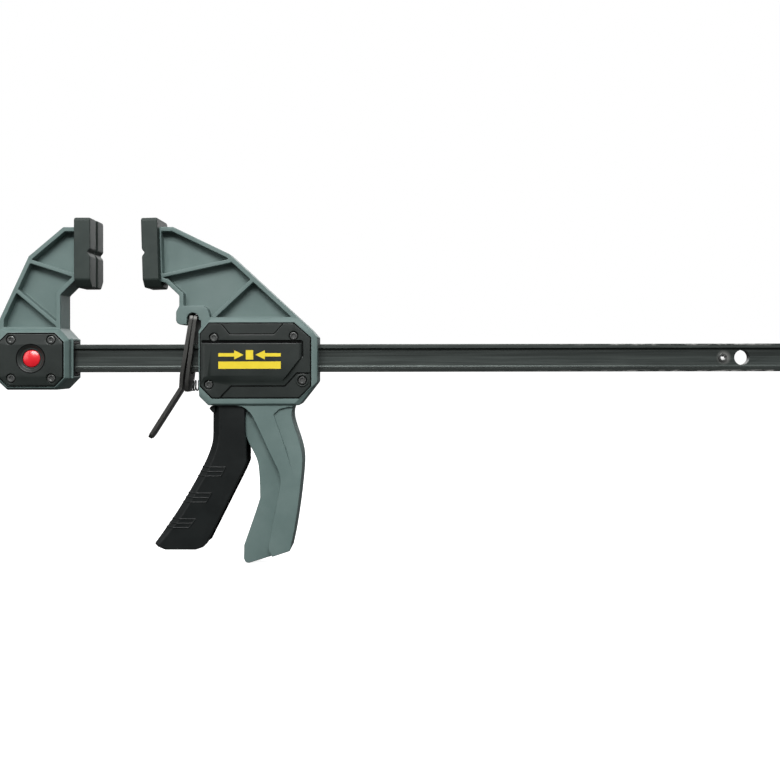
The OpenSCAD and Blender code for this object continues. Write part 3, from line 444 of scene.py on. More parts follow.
def cut_through_hole(skin, region, outlines):
    """Cuts the region across its long side, through the middle of its largest hole."""
    corners = [v.co for edge in outlines[0] for v in edge.verts]
    spread = [max(c[i] for c in corners) - min(c[i] for c in corners) for i in range(3)]
    along = Vector([float(i == spread.index(max(spread))) for i in range(3)])
    hole = in_order(v for edge in outlines[1] for v in edge.verts)
    centre = sum((v.co for v in hole), Vector()) / len(hole)
    edges = in_order(edge for face in region for edge in face.edges)
    points = in_order(v for face in region for v in face.verts)
    cut = bmesh.ops.bisect_plane(skin, geom=[*region, *edges, *points], dist=WELD,
                                 plane_co=centre, plane_no=along)
    for piece in cut["geom_cut"]:
        if isinstance(piece, bmesh.types.BMEdge) and is_chance(piece):
            piece.seam = True


def open_holes(skin):
    for _ in range(TURNS):
        chance = next((edge for edge in skin.edges if is_chance(edge)), None)
        if chance is None:
            return
        region = flat_region(chance)
        outlines = outlines_of(region)
        if len(outlines) == 1:
            chance.seam = True
            continue
        cut_through_hole(skin, region, outlines)
        flatten(skin)


def merged(node):
    """The node's triangles as one connected skin with whole flat faces."""
    plain = frame["nodes"][node].data.copy()
    normals = plain.attributes.get("custom_normal")
    if normals:
        plain.attributes.remove(normals)
    skin = bmesh.new()
    skin.from_mesh(plain)
    bpy.data.meshes.remove(plain)
    bmesh.ops.remove_doubles(skin, verts=skin.verts, dist=WELD)
    flatten(skin)
    open_holes(skin)
    small = [face for face in skin.faces if len(face.verts) == 3]
    bmesh.ops.join_triangles(skin, faces=small, angle_face_threshold=math.radians(10),
                             angle_shape_threshold=math.radians(50))
    skin.normal_update()
    return skin


# %% [markdown]
# Two rounds can meet in two ways: at a corner, where each reaches along the edge that they
# share, and across a narrow face, whose two long edges look at each other. Both are measured,
# and the widths shrink step by step until all of them fit.

# %% Share the room between the rounds
ROOM = 0.9  # the share of an edge or a narrow face that its rounds may fill
STEPS = 40
MOST_SHRINK = 0.5  # no width shrinks by more than this in one step
STRAIGHT = math.radians(165)
CLOSED = 0.01  # radians: a corner so sharp that it has no room to measure
FACING = -0.3  # edges whose directions multiply to less than this run opposite ways


def reaches(corner, width):
    """How far the rounds at a face's corner reach along its two edges there."""
    before, after = corner.link_loop_prev.edge, corner.edge
    angle = corner.calc_angle()
    a, b = width.get(before, 0), width.get(after, 0)
    if not corner.is_convex or angle < CLOSED or (angle > STRAIGHT and a and b):
        return (before, 0), (after, 0)
    return ((before, max(0, (b + a * math.cos(angle)) / math.sin(angle))),
            (after, max(0, (a + b * math.cos(angle)) / math.sin(angle))))


def gap_between(a, b, c, d, normal):
    """The gap from the edge a-b across its face to the edge c-d, or None if they don't face."""
    along = (b - a).normalized()
    inward = normal.cross(along)
    if (d - c).normalized().dot(along) > FACING:
        return None
    (s0, g0), (s1, g1) = sorted((((p - a).dot(along), (p - a).dot(inward)) for p in (c, d)))
    low, high = max(s0, 0), min(s1, (b - a).length)
    if high <= low:
        return None
    rise = (g1 - g0) / (s1 - s0)
    return min(g0 + rise * (low - s0), g0 + rise * (high - s0))


def facing_pairs(skin, reach):
    """Pairs of edges that look at each other across a face, with the gap between them."""
    pairs = []
    for face in skin.faces:
        sides = [(c.edge, c.vert.co, c.link_loop_next.vert.co) for c in face.loops]
        for i, (edge, a, b) in enumerate(sides):
            for other, c, d in sides[i + 1:]:
                if set(edge.verts) & set(other.verts):
                    continue
                gap = gap_between(a, b, c, d, face.normal)
                if gap is not None and 0 < gap < reach:
                    pairs.append((edge, other, gap))
    return pairs


def tight_at_corners(skin, width):
    """For each edge whose ends' rounds meet: the factor that would make them fit."""
    need = {}
    for face in skin.faces:
        for corner in face.loops:
            pair = corner.link_loop_prev.edge, corner.edge
            for edge, reach in reaches(corner, width):
                if reach > need.get((edge, corner.vert), (0, pair))[0]:
                    need[(edge, corner.vert)] = (reach, pair)
    for edge in skin.edges:
        ends = [need[(edge, v)] for v in edge.verts if (edge, v) in need]
        total = sum(reach for reach, pair in ends)
        if total > ROOM * edge.calc_length():
            for reach, pair in ends:
                yield pair, ROOM * edge.calc_length() / total


def tight_across(pairs, width):
    for edge, other, gap in pairs:
        total = width.get(edge, 0) + width.get(other, 0)
        if total > ROOM * gap:
            yield (edge, other), ROOM * gap / total


def share_room(skin, sharp, radius):
    """The width of each sharp edge's round: the radius, or less where rounds would meet."""
    width = dict.fromkeys(sharp, radius)
    pairs = facing_pairs(skin, 2 * radius / ROOM)
    for _ in range(STEPS):
        tight = {}
        for edges, factor in [*tight_at_corners(skin, width), *tight_across(pairs, width)]:
            for edge in edges:
                if edge in width:
                    tight[edge] = min(tight.get(edge, 1), factor)
        if not tight:
            break
        for edge, factor in tight.items():
            width[edge] *= max(factor, MOST_SHRINK)
    return width


def weigh_edges(skin, radius, fold):
    """Gives each sharp edge the share of the radius that it has room for."""
    layer = skin.edges.layers.float.new("bevel_weight_edge")
    sharp = [e for e in skin.edges if e.is_manifold and e.calc_face_angle(0) > fold]
    for edge, width in share_room(skin, sharp, radius).items():
        edge[layer] = width / radius
    return len(sharp)


# %% [markdown]
# ## From a skin to a finished piece
# A finished piece is a plain mesh with its finish, on the body that it moves with. Its
# modifiers could stay live, but a plain mesh looks the same in every program that opens it.
# These small helpers do that for every piece below.

# %% Finish a piece
def settle(obj):
    """The object with its modifiers worked into a plain mesh."""
    evaluated = obj.evaluated_get(bpy.context.evaluated_depsgraph_get())
    mesh = bpy.data.meshes.new_from_object(evaluated)
    obj.modifiers.clear()
    obj.data = mesh
    return obj


def link(name, mesh, material):
    piece = bpy.data.objects.new(name, mesh)
    bpy.context.scene.collection.objects.link(piece)
    piece.data.materials.clear()
    piece.data.materials.append(material)
    return piece


def body_of(node):
    bodies = frame["record"]["behaviour"]["bodies"]
    return next(body for body, nodes in bodies.items() if node in nodes)


def slot_of(node):
    return next(s["material_slot"] for s in frame["record"]["subparts"] if s["node"] == node)


def ride_with(piece, node, replace=False):
    """The piece moves with the node's body, and may stand in for the node."""
    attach(piece, body_of(node))
    slot_of(node)
    if replace:
        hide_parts(node)
    return piece


def shade(piece, fold):
    """Smooth shading that stops at sharp folds and keeps large flat faces flat."""
    piece.data.shade_smooth()
    piece.data.set_sharp_from_angle(angle=math.radians(fold))
    even = piece.modifiers.new("even", "WEIGHTED_NORMAL")
    even.mode, even.weight, even.keep_sharp = "FACE_AREA", 50, True
    settle(piece)


def round_edges(piece, radius, limit):
    """Rounds edges, limited by their WEIGHT or by the ANGLE between their faces."""
    bevel = piece.modifiers.new("round", "BEVEL")
    bevel.limit_method = limit
    bevel.width, bevel.segments = radius, 2
    bevel.use_clamp_overlap = limit == "ANGLE"
    bevel.angle_limit = math.radians(40)
    bevel.miter_outer = "MITER_ARC"
    settle(piece)


# %% [markdown]
# ## Faces that cross themselves
# Where a corner is very tight, its rounds still overlap a little, and the outline of the flat
# face beside them crosses itself. Such a face can't be filled with triangles in the usual way:
# some of them turn over, and show as large black shapes. Smaller rounds would help only there
# and dull the edges everywhere, so each such face is cut into triangles by a method that
# allows crossings, and only those that its outline really runs round are kept.

# %% Cut crossed faces into triangles
PARALLEL = 1e-14
NEAR_END = 1e-5  # segments that meet this near to an end touch, and don't cross
JOIN = 1e-7
INSIDE_ONLY = 1  # the cutter leaves out triangles outside the outline


def cross_over(a, b, c, d):
    """Whether two segments in a plane cross."""
    r, s = b - a, d - c
    turn = r.cross(s)
    if abs(turn) < PARALLEL:
        return False
    t, u = (c - a).cross(s) / turn, (c - a).cross(r) / turn
    return min(t, u) > NEAR_END and max(t, u) < 1 - NEAR_END


def crosses_itself(outline):
    count = len(outline)
    return any(cross_over(outline[i], outline[i + 1], outline[j], outline[(j + 1) % count])
               for i in range(count - 2) for j in range(i + 2, count - (i == 0)))


def goes_around(outline, spot):
    """Whether the outline runs anticlockwise around a point."""
    arms = [corner - spot for corner in outline]
    turn = sum(math.atan2(a.cross(b), a.dot(b)) for a, b in zip(arms, arms[1:] + arms[:1]))
    return turn > math.pi


def retile(piece):
    """Cuts each face whose outline crosses itself into triangles that all face its way."""
    skin = bmesh.new()
    skin.from_mesh(piece.data)
    for face in [face for face in skin.faces if len(face.verts) > 3]:
        normal, corners = face.normal.copy(), list(face.verts)
        u = normal.orthogonal().normalized()
        v = normal.cross(u)
        outline = [Vector((corner.co.dot(u), corner.co.dot(v))) for corner in corners]
        if not crosses_itself(outline):
            continue
        spots, _, tiles, sources, _, _ = delaunay_2d_cdt(
            outline, [], [list(range(len(outline)))], INSIDE_ONLY, JOIN)
        level = normal * corners[0].co.dot(normal)
        places = [corners[source[0]] if source else skin.verts.new(u * x + v * y + level)
                  for (x, y), source in zip(spots, sources)]
        skin.faces.remove(face)
        for tile in tiles:
            triangle = [places[i] for i in tile]
            middle = sum((spots[i] for i in tile), Vector((0, 0))) / 3
            if goes_around(outline, middle) and not skin.faces.get(triangle):
                skin.faces.new(triangle)
    skin.to_mesh(piece.data)
    skin.free()


# %% [markdown]
# ## Dressing the pieces
# Each solid now gets its finish and a radius. Soft pads have the widest rounds, the mouldings
# less, and stamped plates and pins the least. One function could guess a radius from a piece's
# size, but how a piece is made matters more, so a list says it for each.

# %% Dress the mouldings and plates
FOLD = 28  # degrees: a sharper fold between two faces is an edge to be rounded


def rounded(node, material, radius):
    """A copy of a CAD node with its edges rounded, which stands in for it."""
    skin = merged(node)
    count = weigh_edges(skin, radius, math.radians(FOLD))
    mesh = bpy.data.meshes.new(node + "_finished")
    skin.to_mesh(mesh)
    skin.free()
    piece = link(node + "_finished", mesh, material)
    round_edges(piece, radius, "WEIGHT")
    retile(piece)
    shade(piece, FOLD)
    print(f"{node}: {count} sharp edges, {len(piece.data.polygons)} faces")
    return ride_with(piece, node, replace=True)


for node, material, radius in [
    ("fixed_jaw", nylon, 0.7 * MM), ("head_body", nylon, 0.7 * MM),
    ("fixed_pad", pad_rubber, 1.1 * MM), ("moving_pad", pad_rubber, 1.1 * MM),
    ("bar_sleeve", sleeve_plastic, 0.5 * MM),
    ("fixed_front_cover", cover_plastic, 0.4 * MM), ("fixed_back_cover", cover_plastic, 0.4 * MM),
    ("head_front_cover", cover_plastic, 0.4 * MM), ("head_back_cover", cover_plastic, 0.4 * MM),
    ("trigger", trigger_plastic, 0.6 * MM), ("latch_button", red_plastic, 0.4 * MM),
    ("bar", bar_steel, 0.2 * MM), ("release_lever", plate_steel, 0.4 * MM),
    ("brake_plate", plate_steel, 0.4 * MM), ("drive_plates", zinc_steel, 0.3 * MM),
    ("latch_yoke", zinc_steel, 0.3 * MM), ("stop_pins", screw_steel, 0.15 * MM),
    ("trigger_pin", pin_steel, 0.3 * MM), ("spring_washer", zinc_steel, 0.2 * MM),
]:
    rounded(node, material, radius)

# %% [markdown]
# ## Geometry Nodes
# What repeats or follows a path is made by Geometry Nodes. A `Shape` is a tree with named
# inputs for its sizes and one for its finish. `grow` sets them on a modifier by each socket's
# identifier, and keeps the result as a plain mesh.

# %% Shapes
class Shape(Network):
    """A Geometry Nodes tree under construction, with named sizes."""

    def __init__(self, name, **sizes):
        super().__init__(bpy.data.node_groups.new(name, "GeometryNodeTree"))
        face = self.tree.interface
        face.new_socket("base", in_out="INPUT", socket_type="NodeSocketGeometry")
        for size, value in sizes.items():
            kind = "NodeSocketInt" if isinstance(value, int) else "NodeSocketFloat"
            face.new_socket(size, in_out="INPUT", socket_type=kind).default_value = value
        face.new_socket("finish", in_out="INPUT", socket_type="NodeSocketMaterial")
        face.new_socket("result", in_out="OUTPUT", socket_type="NodeSocketGeometry")
        self.start = self.tree.nodes.new("NodeGroupInput")

    def size(self, name):
        return Wire(self, self.start.outputs[name])

    def close(self, geometry):
        real = self.node("GeometryNodeRealizeInstances", None, {"Geometry": geometry})
        done = self.node("GeometryNodeSetMaterial", None,
                         {"Geometry": real, "Material": self.size("finish")})
        end = self.tree.nodes.new("NodeGroupOutput")
        self.feed(end.inputs["result"], done)
        return self


def grow(name, shape, base, material, **sizes):
    """A plain mesh object from a shape's tree, a base mesh and the shape's sizes."""
    piece = link(name, base, material)
    maker = piece.modifiers.new("shape", "NODES")
    maker.node_group = shape.tree
    for item in shape.tree.interface.items_tree:
        if item.name in sizes:
            maker[item.identifier] = sizes[item.name]
        if item.name == "finish":
            maker[item.identifier] = material
    settle(piece)
    return piece


# %% [markdown]
# ## Coil springs
# Three springs drive the clamp. A compression spring is a helix whose end turns lie closed, so
# that it stands square. The tree bends a straight line into that helix by a formula for the
# height at each turn, and sweeps a circle along it. Each spring rides with its node's body.

# %% Springs
def spring_shape():
    shape = Shape("coil_spring", radius=0.01, wire=0.001, length=0.03, turns=5.0, sides=10)
    radius, wire, turns = (shape.size(name) for name in ("radius", "wire", "turns"))
    closed = 1.15 * wire
    rise = (shape.size("length") - wire - 2 * closed) / (turns - 2)
    line = shape.node("GeometryNodeCurvePrimitiveLine", None, {"End": (0, 0, 1)})
    line = shape.node("GeometryNodeResampleCurve", {"mode": "COUNT"},
                      {"Curve": line, "Count": 36 * turns + 1})
    turn = shape.node("GeometryNodeSplineParameter") * turns
    middle = (turn - 1).at_least(0).at_most(turns - 2)
    height = 0.5 * wire + closed * turn.at_most(1) + rise * middle
    height = height + closed * (turn - turns + 1).at_least(0)
    angle = turn * (2 * math.pi)
    spot = shape.node("ShaderNodeCombineXYZ", None, {
        "X": radius * angle.of("COSINE"), "Y": radius * angle.of("SINE"), "Z": height})
    path = shape.node("GeometryNodeSetPosition", None, {"Geometry": line, "Position": spot})
    ring = shape.node("GeometryNodeCurvePrimitiveCircle", None, {
        "Resolution": shape.size("sides"), "Radius": 0.5 * wire})
    tube = shape.node("GeometryNodeCurveToMesh", None, {
        "Curve": path, "Profile Curve": ring, "Fill Caps": True})
    return shape.close(tube)


coil = spring_shape()
AXES = {"X": Matrix.Rotation(math.radians(90), 4, "Y"),
        "Y": Matrix.Rotation(math.radians(-90), 4, "X")}


def add_spring(node, axis, wire, turns):
    """A wound spring in the place of its CAD node, along the given axis."""
    low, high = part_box(node)
    along, across = "XYZ".index(axis), 2
    length = high[along] - low[along]
    outer = high[across] - low[across]
    piece = grow(node + "_wound", coil, bpy.data.meshes.new(node), spring_steel,
                 radius=(outer - wire) / 2, wire=wire, length=length, turns=float(turns))
    start = (low + high) / 2
    start[along] = low[along]
    piece.data.transform(Matrix.Translation(start) @ AXES[axis])
    shade(piece, 60)
    ride_with(piece, node, replace=True)
    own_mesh(piece)
    print(f"{node}: {turns} turns, {length / MM:.1f} mm long, {outer / MM:.1f} mm across")


add_spring("drive_spring", "X", 1.5 * MM, 6)
add_spring("brake_spring", "X", 1.0 * MM, 5)
add_spring("latch_spring", "Y", 0.6 * MM, 4)

# %% [markdown]
# ## Screws
# Each cover is held by four socket-head screws. The tree makes one screw: a head with a
# slanted rim, a hexagon socket with a lead-in, and the shank under it. It stands on a point for
# each screw, turned to face its cover. Sixteen modelled screws would look the same, but here
# one change to the tree changes them all.

# %% Socket-head screws
def screw_shape():
    shape = Shape("socket_screw", head=0.0058, height=0.0012, shank=0.003, length=0.008,
                  turn=90.0)
    head, height = shape.size("head"), shape.size("height")
    rim = 0.5 * MM

    def tapered(low, high, depth, base, sides=40):
        cone = shape.node("GeometryNodeMeshCone", None, {
            "Vertices": sides, "Radius Top": high, "Radius Bottom": low, "Depth": depth})
        up = shape.node("ShaderNodeCombineXYZ", None, {"Z": base})
        return shape.node("GeometryNodeTransform", None, {"Geometry": cone, "Translation": up})

    def boolean(operation, first, others):
        made = shape.node("GeometryNodeMeshBoolean", {"operation": operation, "solver": "EXACT"})
        inputs = made.socket.node.inputs
        if operation == "DIFFERENCE":
            shape.feed(inputs["Mesh 1"], first)
        else:
            shape.feed(inputs["Mesh 2"], first)
        for other in others:
            shape.feed(inputs["Mesh 2"], other)
        return made

    body = tapered(head / 2, head / 2, height - rim, 0)
    crown = tapered(head / 2, head / 2 - rim, rim, height - rim)
    shank = tapered(shape.size("shank") / 2, shape.size("shank") / 2,
                    shape.size("length") + 0.2 * MM, -1 * shape.size("length"))
    socket = tapered(head / 4, head / 4, height, 0.3 * height, sides=6)
    lead = tapered(head / 5, head / 3.2, 0.45 * height, 0.66 * height)
    solid = boolean("UNION", body, [crown, shank])
    screw = boolean("DIFFERENCE", solid, [socket, lead])
    facing = shape.node("ShaderNodeCombineXYZ", None, {
        "X": shape.size("turn") * (math.pi / 180), "Y": 0.3})
    stood = shape.node("GeometryNodeInstanceOnPoints", None, {
        "Points": shape.size("base"), "Instance": screw, "Rotation": facing})
    return shape.close(stood)


screw = screw_shape()


def quarters(node):
    """The middle of each of a node's four solids, one in each quarter of its box."""
    low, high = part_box(node)
    middle = (low + high) / 2
    groups = {}
    for v in frame["nodes"][node].data.vertices:
        groups.setdefault((v.co.x > middle.x, v.co.z > middle.z), []).append(v.co)
    return [((min(c.x for c in group) + max(c.x for c in group)) / 2,
             (min(c.z for c in group) + max(c.z for c in group)) / 2)
            for group in groups.values()]


def add_screws(node, front):
    low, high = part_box(node)
    height, length = 1.2 * MM, 8 * MM
    seat = low.y + height if front else high.y - height
    spots = bpy.data.meshes.new(node)
    spots.from_pydata([(x, seat, z) for x, z in quarters(node)], [], [])
    piece = grow(node + "_turned", screw, spots, screw_steel, height=height, length=length,
                 turn=90.0 if front else -90.0)
    round_edges(piece, 0.1 * MM, "ANGLE")
    shade(piece, 30)
    ride_with(piece, node, replace=True)
    print(f"{node}: {len(piece.data.polygons)} faces")


for node in ("fixed_front_screws", "head_front_screws"):
    add_screws(node, front=True)
for node in ("fixed_back_screws", "head_back_screws"):
    add_screws(node, front=False)

# %% [markdown]
# ## Rods along paths
# The trigger has three groups of three raised ridges that wrap round its finger side, and each
# group is closed by a slanted bar. They could be cut from the moulding itself, which is slow to
# change. Rods that lie half sunk in its skin look the same, and rays shot at the trigger tell
# where that skin is. One tree turns the edges of a base mesh into paths, rounds their corners
# and sweeps a circle along them.

# %% Rods
def rod_shape():
    shape = Shape("rod", radius=0.0005, corner=0.001, sides=10)
    path = shape.node("GeometryNodeMeshToCurve", None, {"Mesh": shape.size("base")})
    path = shape.node("GeometryNodeFilletCurve", {"mode": "POLY"}, {
        "Curve": path, "Radius": shape.size("corner"), "Count": 3, "Limit Radius": True})
    ring = shape.node("GeometryNodeCurvePrimitiveCircle", None, {
        "Resolution": shape.size("sides"), "Radius": shape.size("radius")})
    tube = shape.node("GeometryNodeCurveToMesh", None, {
        "Curve": path, "Profile Curve": ring, "Fill Caps": True})
    return shape.close(tube)


rod = rod_shape()


def paths_mesh(name, paths):
    """A mesh of bare edges, one chain for each path."""
    points = [p for path in paths for p in path]
    edges, first = [], 0
    for path in paths:
        edges += [(first + i, first + i + 1) for i in range(len(path) - 1)]
        first += len(path)
    mesh = bpy.data.meshes.new(name)
    mesh.from_pydata(points, edges, [])
    return mesh


# %% Trigger ridges
RIDGE_GROUPS = [(-77.4, -80.6, -83.8), (-95.9, -99.1, -102.3), (-114.2, -117.3, -120.4)]
RIDGE_REACH = 11.5 * MM  # from the crease towards the trigger's middle
RIDGE_TURN = 5 * MM  # how far from each side a ridge leaves the finger face
RIDGE_SINK = 0.25 * MM
RAY_START = 10 * MM  # how far in front of the trigger a measuring ray starts
SKIM = 0.05 * MM  # how far inside the trigger's side the ray runs that finds the crease


def surface_of(node):
    data = frame["nodes"][node].data
    return BVHTree.FromPolygons([v.co for v in data.vertices],
                                [list(p.vertices) for p in data.polygons])


def add_ridges():
    skin = surface_of("trigger")
    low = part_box("trigger")[0]
    side = -low.y - RIDGE_SINK

    def first_hit(y, z):
        return skin.ray_cast(Vector((low.x - RAY_START, y, z)), Vector((1, 0, 0)))[0].x

    paths = []
    for group in RIDGE_GROUPS:
        ends = []
        for z in (level * MM for level in group):
            finger = first_hit(0.0, z) + RIDGE_SINK
            crease = first_hit(low.y + SKIM, z)
            end = crease + RIDGE_REACH
            ends.append((end, side, z))
            half = [(end, side, z), (crease, side, z), (finger, side - RIDGE_TURN, z)]
            paths.append([(x, -y, z) for x, y, z in half] + half[::-1])
        paths.append(ends)
        paths.append([(x, -y, z) for x, y, z in ends])
    piece = grow("trigger_ridges", rod, paths_mesh("ridges", paths), trigger_plastic,
                 radius=0.62 * MM, corner=1.2 * MM)
    shade(piece, 60)
    ride_with(piece, "trigger")
    print(f"trigger_ridges: {len(paths)} rods, {len(piece.data.polygons)} faces")


add_ridges()

# %% [markdown]
# ## Seams, painted shade and print
# A cover sits in its frame with a fine seam around it, and its face has grooves along its
# steps and above the raised panel. They are so narrow that hardly any light comes back out, so
# thin plates of a nearly black finish are painted shade in them, and so are thin rings in the
# screws' counterbores and around the button's dish. Another such plate is painted shadow
# inside the hook's notch, behind the hanging plates. The pictogram on the panel, two arrows
# that press a block between them above a plain band, is printed and a few hundredths of a
# millimetre thick.

# %% Thin plates
MITRE = 0.4  # the least cosine at a corner, so that a sharp one isn't moved far out


def offset_path(points, distance, closed):
    """A path moved sideways, to its left when distance is above 0."""
    count = len(points)
    moved = []
    for i, point in enumerate(points):
        before = points[i - 1] if closed or i else None
        after = points[(i + 1) % count] if closed or i < count - 1 else None
        ways = [(b - a).normalized() for a, b in ((before, point), (point, after))
                if a is not None and b is not None]
        sides = [Vector((-w.y, w.x)) for w in ways]
        side = sum(sides, Vector((0, 0))).normalized()
        moved.append(point + side * distance / max(MITRE, side.dot(sides[0])))
    return moved


def ribbon(points, right, left, closed=False):
    """Four-cornered patches between two offsets of a path."""
    points = [Vector(p) for p in points]
    a = offset_path(points, -right, closed)
    b = offset_path(points, left, closed)
    last = len(points) if closed else len(points) - 1
    return [(a[i], a[(i + 1) % len(a)], b[(i + 1) % len(a)], b[i]) for i in range(last)]


def add_plates(name, node, layers, material, thickness=0.05, sides=(-1, 1)):
    """Plates on the clamp's sides: layers is a list of (y in mm, patches in mm)."""
    skin = bmesh.new()
    for level, patches in layers:
        for side in sides:
            faces = []
            for patch in patches:
                corners = [skin.verts.new((x * MM, side * level * MM, z * MM)) for x, z in patch]
                faces.append(skin.faces.new(corners))
            corners = in_order(v for face in faces for v in face.verts)
            bmesh.ops.remove_doubles(skin, verts=corners, dist=WELD)
            faces = [face for face in faces if face.is_valid]
            raised = bmesh.ops.extrude_face_region(skin, geom=faces)
            for v in raised["geom"]:
                if isinstance(v, bmesh.types.BMVert):
                    v.co.y += side * thickness * MM
    bmesh.ops.recalc_face_normals(skin, faces=skin.faces)
    mesh = bpy.data.meshes.new(name)
    skin.to_mesh(mesh)
    skin.free()
    piece = link(name, mesh, material)
    ride_with(piece, node)
    print(f"{name}: {len(mesh.polygons)} faces")


# %% Painted shade in the head's seams, grooves and counterbores
HEAD_X0, HEAD_X1 = 75.1, 160.3
COVER_Y, RIM_Y = 18.0, 17.2
GROOVE_Y, SINK_Y = 16.7, 16.2  # the floors of the groove and of the screws' counterbores
GROOVE_Z0, GROOVE_Z1 = 10.4, 12.8
PANEL_X = 149.3  # the raised panel's right edge, where the groove turns down
SINK_INNER, SINK_OUTER = 2.7, 3.37
head_cover_outline = [
    (HEAD_X0 + 2.8, -19.5), (HEAD_X0 + 11, -27.8), (HEAD_X1 - 13.2, -27.8), (HEAD_X1 - 5, -19.6),
    (HEAD_X1 - 5, 14.2), (HEAD_X1 - 16.6, 24.5), (HEAD_X0 + 9, 24.5), (HEAD_X0 + 2.8, 17.1)]
upper_step = [(HEAD_X0 + 17.2, 23.9), (HEAD_X0 + 23.2, 16.6), (HEAD_X0 + 54.7, 16.6),
              (HEAD_X0 + 61.2, 23.9)]
lower_step = [(HEAD_X0 + 16.6, -27.3), (HEAD_X0 + 24.2, -19.3), (HEAD_X0 + 62.2, -19.3),
              (HEAD_X0 + 70.5, -10.2), (HEAD_X1 - 5.4, -10.2)]
groove_shade = [[(HEAD_X0 + 3.5, GROOVE_Z0), (PANEL_X, GROOVE_Z0), (PANEL_X - 0.2, GROOVE_Z1),
                 (HEAD_X0 + 3.5, GROOVE_Z1)],
                [(PANEL_X, 1.0), (PANEL_X + 1.2, 0.4), (PANEL_X + 1.2, 11.4), (PANEL_X, 12.6)]]


def rings(spots, inner, outer):
    """A flat ring around each spot."""
    return [patch for x, z in spots
            for patch in ribbon(circle(x, z, inner, 40), outer - inner, -0.02, closed=True)]


def circle(x, z, radius, count=64):
    angles = [2 * math.pi * i / count for i in range(count)]
    return [(x + radius * math.cos(a), z + radius * math.sin(a)) for a in angles]


def screw_spots(node):
    return [(x / MM, z / MM) for x, z in quarters(node)]


add_plates("head_seam_shade", "head_front_cover", [
    (RIM_Y, ribbon(head_cover_outline, 0.8, -0.05, closed=True)),
    (RIM_Y, ribbon(upper_step, 0.15, 0.85)),
    (RIM_Y, ribbon(lower_step, 0.85, 0.15)),
    (GROOVE_Y, groove_shade),
    (SINK_Y, rings(screw_spots("head_front_screws"), SINK_INNER, SINK_OUTER)),
], seam_shadow)


# %% Painted shadow behind the lever's notch
# This plate is painted shadow: it closes the notch from behind, where the real notch shows only
# shade.
NOTCH_X, NOTCH_Z, NOTCH_R = 71.4, 28.2, 4.15
NOTCH_MOUTH_Z = 24.2
NOTCH_SHADOW_Y = 11.65
arch = [(NOTCH_X + NOTCH_R * math.cos(a), NOTCH_Z + NOTCH_R * math.sin(a))
        for a in (math.radians(degrees) for degrees in range(0, 181, 15))]
notch_shadow = [*arch, (NOTCH_X - NOTCH_R, NOTCH_MOUTH_Z), (NOTCH_X + NOTCH_R, NOTCH_MOUTH_Z)]
add_plates("notch_shadow", "head_body", [(NOTCH_SHADOW_Y, [notch_shadow])], seam_shadow,
           thickness=0.3, sides=(1,))


# %% Painted shade in the jaw's seam, dish ring and counterbores
def octagon(x, z, length, height, cut):
    half, rise = length / 2, height / 2
    return [(x - half, z - rise + cut), (x - half + cut, z - rise), (x + half - cut, z - rise),
            (x + half, z - rise + cut), (x + half, z + rise - cut), (x + half - cut, z + rise),
            (x - half + cut, z + rise), (x - half, z + rise - cut)]


LATCH_X = -42.0
DISH_R = 9.7
add_plates("jaw_seam_shade", "fixed_front_cover", [
    (RIM_Y, ribbon(octagon(LATCH_X, -0.9, length=44.6, height=36.6, cut=6), 0.85, -0.05,
                   closed=True)),
    (COVER_Y, ribbon(circle(LATCH_X, 0, DISH_R), 0.75, -0.02, closed=True)),
    (SINK_Y, rings(screw_spots("fixed_front_screws"), SINK_INNER, SINK_OUTER)),
], seam_shadow)

# %% Pictogram
PRINT_X0, PRINT_X1 = 90.8, 134.8
PRINT_MIDDLE = (PRINT_X0 + PRINT_X1) / 2
arrow = [[(PRINT_X0, 1.2), (102.0, 1.2), (102.0, 3.6), (PRINT_X0, 3.6)],
         [(102.0, -0.9), (108.6, 2.4), (102.0, 5.7)]]
mirrored = [[(2 * PRINT_MIDDLE - x, z) for x, z in reversed(patch)] for patch in arrow]
pressed = [[(PRINT_MIDDLE - 2.6, -0.9), (PRINT_MIDDLE + 2.6, -0.9), (PRINT_MIDDLE + 2.6, 5.7),
            (PRINT_MIDDLE - 2.6, 5.7)]]
band = [[(PRINT_X0, -7.4), (PRINT_X1, -7.4), (PRINT_X1, -2.3), (PRINT_X0, -2.3)]]
PANEL_Y = 20.0
add_plates("pictogram", "head_front_cover", [(PANEL_Y, arrow + mirrored + pressed + band)],
           yellow_print, thickness=0.03)

# %% [markdown]
# ## Studio
# A plain pale floor, a pale world that is darker below than above, as in a studio, and soft
# lights: a large panel in front and high up, and weaker ones above, behind and on each side.
# An image of a room could light the clamp too, but with panels it is plain where each
# highlight on the bar and covers comes from.

# %% Floor
FLOOR_Z = cad_box[0][2] - 0.4 * MM


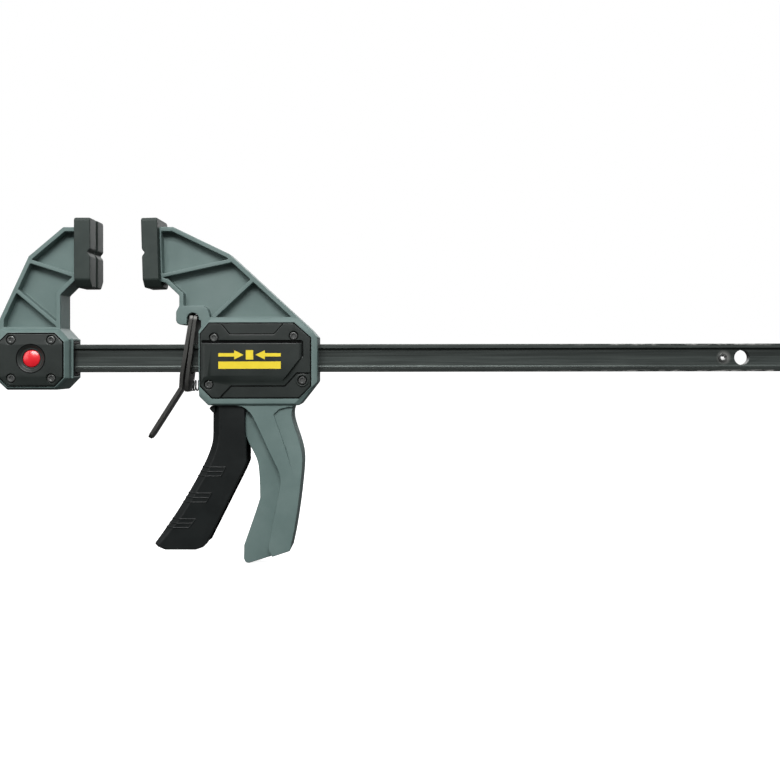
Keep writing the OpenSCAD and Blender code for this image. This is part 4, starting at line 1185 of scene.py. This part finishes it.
def add_floor():
    skin = bmesh.new()
    bmesh.ops.create_circle(skin, cap_ends=True, segments=64, radius=12)
    skin.transform(Matrix.Translation((0.2, 0, FLOOR_Z)))
    mesh = bpy.data.meshes.new("floor")
    skin.to_mesh(mesh)
    skin.free()
    finish = Finish("floor", Roughness=0.9, Base_Color=(0.6, 0.6, 0.6),
                    Emission_Color=(1, 1, 1), Emission_Strength=0.9)
    floor = link("floor", mesh, finish.material)
    floor.visible_diffuse = False
    floor.visible_glossy = False


add_floor()


# %% World
def light_world(below, above):
    world = bpy.data.worlds.new("world")
    world.use_nodes = True
    bpy.context.scene.world = world
    sky = Network(world.node_tree)
    direction = sky.node("ShaderNodeTexCoord", output="Generated")
    height = sky.node("ShaderNodeSeparateXYZ", None, {0: direction}, output="Z")
    seen = sky.node("ShaderNodeLightPath", output="Is Camera Ray")
    glow = below + (above - below) * height.between(-0.35, 0.65)
    background = world.node_tree.nodes["Background"]
    sky.feed(background.inputs["Strength"], glow * (1 - seen) + seen)
    sky.feed(background.inputs["Color"], (1, 1, 1))


light_world(below=0.09, above=0.42)
print("made the world")


# %% Light panels
def add_panel(name, place, width, height, power):
    lamp = bpy.data.lights.new(name, "AREA")
    lamp.shape, lamp.size, lamp.size_y, lamp.energy = "RECTANGLE", width, height, power
    panel = bpy.data.objects.new(name, lamp)
    middle = Vector((0.15, 0, 0))
    panel.location = place
    panel.rotation_euler = (middle - Vector(place)).to_track_quat("-Z", "Y").to_euler()
    bpy.context.scene.collection.objects.link(panel)
    print(f"{name}: {power} W")


add_panel("panel_front", (0.05, -1.15, 0.85), 1.0, 0.5, 24)
add_panel("panel_above", (0.10, -0.15, 1.05), 0.9, 0.5, 3)
add_panel("panel_left", (-0.90, -0.70, 0.35), 0.5, 0.9, 3)
add_panel("panel_right", (1.1, -0.70, 0.25), 0.5, 0.9, 1.5)
add_panel("panel_behind", (0.1, 0.9, 0.5), 1.0, 0.8, 6)
bpy.context.scene.view_settings.view_transform = "Standard"
